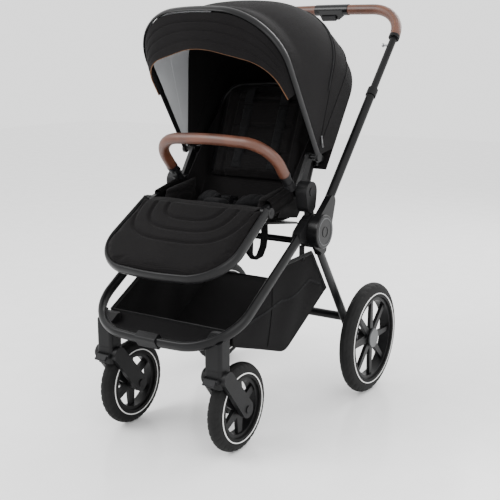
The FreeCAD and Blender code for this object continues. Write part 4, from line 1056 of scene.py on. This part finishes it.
def wheel_piece(name, centre, rings, body, slot, material, turns=144, wobble=None, replaced=()):
    """A closed ring turned about an axle along X, from (across, radius) points."""
    count = len(rings)

    def place(u, v):
        n, k = round(u * count) % count, round(v * turns) % turns
        across, radius = rings[n]
        if wobble:
            radius += wobble(n, k, across, radius)
        turn = 2 * math.pi * k / turns
        y, z = radius * math.cos(turn), radius * math.sin(turn)
        return Vector((centre[0] + across, centre[1] + y, centre[2] + z))

    obj, *_ = grid(name, count, turns, place)
    tidy_mesh(obj)
    return settle(obj, body, slot, [material], *replaced)


TYRE_SIDE, TYRE_ROUND = 0.8, 0.72     # how full a tyre's side and tread are


def tyre_rings(radius, width, rim_radius):
    half = width / 2
    rings = []
    for n in range(33):
        t = math.pi * (n / 32)
        across = math.copysign(abs(math.cos(t)) ** TYRE_SIDE, math.cos(t)) * half
        rings.append((across, rim_radius + (radius - rim_radius) * math.sin(t) ** TYRE_ROUND))
    return rings


def tread(radius):
    """Slanting grooves and two round the middle of the tread."""
    def wobble(n, k, across, at):
        if at < radius - 0.009:
            return 0.0
        slant = (k + (1 if across > 0 else -1) * abs(across) * 260) % 6
        cut = 0.0016 if slant < 1.6 and abs(across) > 0.003 else 0.0
        groove = 0.0016 * ridge(abs(across) - 0.0075, 0.0012)
        return -max(cut, groove)
    return wobble


for side, label in SIDES:
    for kind, radius, width, rim_radius, stripe in WHEELS:
        low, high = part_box(f"{kind}_tyre_{label}")
        centre = [(a + b) / 2 for a, b in zip(low, high)]
        body = f"{kind}_wheel_{label}"
        wheel_piece(
            f"{kind}_tyre_tread_{label}", centre, tyre_rings(radius, width, rim_radius), body, "tyre", RUBBER,
            turns=216, wobble=tread(radius), replaced=[f"{kind}_tyre_{label}"],
        )
        for face in (1, -1):
            level = (stripe - rim_radius) / (radius - rim_radius)
            t = math.asin(level ** (1 / TYRE_ROUND))
            out = math.cos(t) ** TYRE_SIDE * width / 2
            rings = [
                (face * (out + dx), stripe + dr)
                for dx, dr in ((0.0009, -0.0012), (0.0009, 0.0008), (-0.0012, 0.0016), (-0.0016, -0.0016))
            ]
            where = "outer" if face == side else "inner"
            wheel_piece(f"{kind}_stripe_{where}_{label}", centre, rings, body, "tyre", WHITE_LINE, turns=96)

low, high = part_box("hub_covers")
for side, label in SIDES:
    centre = (side * high[0], HUB[0], HUB[1])
    for name, radius, wide, tall, material in HUB_RINGS:
        section = ((-0.0006, -wide), (tall, -wide * 0.6), (tall, wide * 0.6), (-0.0006, wide))
        rings = [(side * dx, radius + dr) for dx, dr in section]
        wheel_piece(f"hub_{name}_{label}", centre, rings, "chassis", "hub_disc", material, turns=72)

# ---------------------------------------------------------------- shopping basket

BASKET_HALF = 0.1715
POCKET_AT = 0.36
BINDING_HALF, BINDING_TALL = 0.0022, 0.0048
BOTTOM = rounded(
    [(HUB[0] - 0.292, HUB[1] - 0.181), (HUB[0] - 0.292, HUB[1] - 0.210), (HUB[0] - 0.193, HUB[1] - 0.242),
     (HUB[0] - 0.075, HUB[1] - 0.282), (HUB[0] + 0.124, HUB[1] - 0.172)],
    [0.012, 0.05, 0.05],
)
TOP = Line([
    (HUB[0] - 0.292, HUB[1] - 0.181), (HUB[0] - 0.097, HUB[1] - 0.071), (HUB[0] + 0.048, HUB[1] - 0.065),
    (HUB[0] + 0.124, HUB[1] - 0.172),
])


def basket_floor(u, v):
    y, z = BOTTOM(v)
    across = 2 * u - 1
    sag = 0.007 * (1 - across ** 2) * math.sin(math.pi * min(1.0, max(0.0, (v - 0.1) / 0.8)))
    ripple = 0.002 * math.sin(9 * v + 4 * across) * (1 - across ** 4)
    return Vector((across * BASKET_HALF, y, z - sag + ripple))


cloth(
    "basket_floor_cloth", 40, 60, basket_floor, "chassis", "basket_cloth", [BASKET_CLOTH], ["basket"],
)
for side, label in SIDES:
    def basket_side(u, v, side=side):
        top, low = TOP(u), BOTTOM(u)
        y, z = mix(top[0], low[0], v), mix(top[1], low[1], v)
        deep = math.sin(math.pi * v) * math.sin(math.pi * u)
        fold = 0.0018 * math.sin(22 * u + 3 * v) * deep
        return Vector((side * (BASKET_HALF + 0.006 * deep + fold), y, z))

    cloth(
        f"basket_side_cloth_{label}", 56, 26, basket_side, "chassis", "basket_cloth", [BASKET_CLOTH],
    )
    rim = [(side * (BASKET_HALF + 0.0008), *TOP(n / 60)) for n in range(61)]
    tube(
        f"basket_binding_{label}", rim, BINDING_HALF, BINDING_TALL, "chassis", "basket_cloth", BINDING,
        side=ACROSS, square=3.0,
    )
    seam = [(side * BASKET_HALF, *BOTTOM(n / 60)) for n in range(61)]
    tube(f"basket_seam_{label}", seam, 0.0020, 0.0020, "chassis", "basket_cloth", BASKET_CLOTH, sides=8)
    pocket = []
    for n in range(51):
        down = POCKET_AT + 0.05 * math.sin(math.pi * n / 50)
        pocket.append(basket_side(mix(0.10, 0.90, n / 50), down) + Vector((side * 0.0016, 0, 0)))
    tube(
        f"basket_pocket_hem_{label}", pocket, 0.0012, 0.0030, "chassis", "basket_cloth", STRAP_CLOTH,
        side=ACROSS, square=3.0,
    )
    corner = [basket_side(POCKET_AT, n / 20) + Vector((side * 0.0014, 0, 0)) for n in range(1, 20)]
    tube(
        f"basket_corner_seam_{label}", corner, 0.0012, 0.0020, "chassis", "basket_cloth", BASKET_CLOTH,
        sides=8,
    )
    strap = [(side * BASKET_HALF, HUB[0] + 0.003, HUB[1] + z) for z in (-0.080, -0.066, -0.052, -0.039)]
    tube(
        f"basket_strap_{label}", strap, WEB_HALF, WEB_THICK, "chassis", "basket_cloth", STRAP_CLOTH,
        side=AHEAD, square=4.0,
    )
    snap = [(side * 0.1735 + side * d, HUB[0] + 0.003, HUB[1] - 0.072) for d in (0.0, 0.0012, 0.0022)]
    tube(f"basket_snap_{label}", snap, 0.0052, 0.0052, "chassis", "steel", STEEL, sides=20)
    front_tab = [(side * 0.153, HUB[0] - 0.2885 - d, HUB[1] - 0.200) for d in (0.0, 0.006, 0.0145)]
    tube(
        f"basket_tab_{label}", front_tab, 0.012, 0.006, "chassis", "basket_cloth", STRAP_CLOTH, side=ACROSS,
        square=4.0,
    )

FRAME_ORIGIN = (HUB[0] - 0.0118, HUB[1] + 0.0186)
FRAME_IN, FRAME_REACH, FRAME_CORNER = 0.1865, 0.4090, 0.1125


def inside_frame(x):
    """How far along the front frame its inner side lies, at that distance from the middle."""
    over = max(0.0, abs(x) - (FRAME_IN - FRAME_CORNER))
    return FRAME_REACH - FRAME_CORNER + math.sqrt(FRAME_CORNER ** 2 - over ** 2)


def basket_front(u, v):
    x = mix(-BASKET_HALF, BASKET_HALF, u)
    rim_point = Vector((x, *TOP(0)))
    lip = plane(FRAME_ORIGIN, FRAME_SLOPE, x, inside_frame(x), 0.004)
    point = rim_point.lerp(lip, v)
    return point - Vector((0, 0, 0.012 * math.sin(math.pi * v)))


cloth(
    "basket_front_cloth", 48, 16, basket_front, "chassis", "basket_cloth", [BASKET_CLOTH],
)
lip = [basket_front(n / 50, 1.0) for n in range(51)]
tube("basket_front_hem", lip, 0.0022, 0.0040, "chassis", "basket_cloth", BINDING, sides=12)
front_rim = [(x * 0.17, TOP(0)[0], TOP(0)[1]) for x in (-1, -0.5, 0, 0.5, 1)]
tube(
    "basket_binding_front", front_rim, BINDING_HALF, BINDING_TALL, "chassis", "basket_cloth", BINDING,
    side=AHEAD, square=3.0,
)
back_rim = [(x * 0.17, TOP(1)[0], TOP(1)[1]) for x in (-1, -0.5, 0, 0.5, 1)]
tube(
    "basket_binding_back", back_rim, BINDING_HALF, BINDING_TALL, "chassis", "basket_cloth", BINDING,
    side=AHEAD, square=3.0,
)

# ---------------------------------------------------------------- floor, light and camera

FLOOR_SIZE, FLOOR_DOWN = 14, -0.0005
SKY_STRENGTH = 1.75

start()
bpy.ops.mesh.primitive_plane_add(size=FLOOR_SIZE, location=(0, 0, FLOOR_DOWN))
floor = bpy.context.object
floor.name = "floor"
floor.data.materials.append(moulded_finish(
    "pale_floor", (0.88, 0.88, 0.88), (0.90, 0.90, 0.90), 0.16, 0.0, 30.0, 0.0,
))

world = bpy.data.worlds.new("studio")
world.use_nodes = True
world.node_tree.nodes["Background"].inputs["Color"].default_value = (1.0, 1.0, 1.0, 1.0)
world.node_tree.nodes["Background"].inputs["Strength"].default_value = SKY_STRENGTH
bpy.context.scene.world = world

AIM = Vector((0.0736, -0.1188, 0.4191))
for name, place, size, power in (
    ("key", (-1.6, -2.2, 2.6), 1.8, 95.0),
    ("fill", (2.6, -1.2, 1.6), 2.2, 50.0),
    ("back", (0.4, 2.4, 2.2), 1.8, 60.0),
):
    bpy.ops.object.light_add(type="AREA", location=place)
    lamp = bpy.context.object
    lamp.name = name
    lamp.data.energy = power
    lamp.data.size = size
    lamp.rotation_euler = (AIM - Vector(place)).to_track_quat("-Z", "Y").to_euler()

CAMERA_TURN, CAMERA_RISE, CAMERA_AWAY = math.radians(33.04), math.radians(12.33), 2.164
bpy.ops.object.camera_add(location=AIM + CAMERA_AWAY * Vector((
    math.sin(CAMERA_TURN) * math.cos(CAMERA_RISE),
    -math.cos(CAMERA_TURN) * math.cos(CAMERA_RISE),
    math.sin(CAMERA_RISE),
)))
camera = bpy.context.object
camera.name = "camera"
camera.data.lens = 65.7
camera.data.sensor_width = 36.0
camera.rotation_euler = (AIM - camera.location).to_track_quat("-Z", "Y").to_euler()
bpy.context.scene.camera = camera
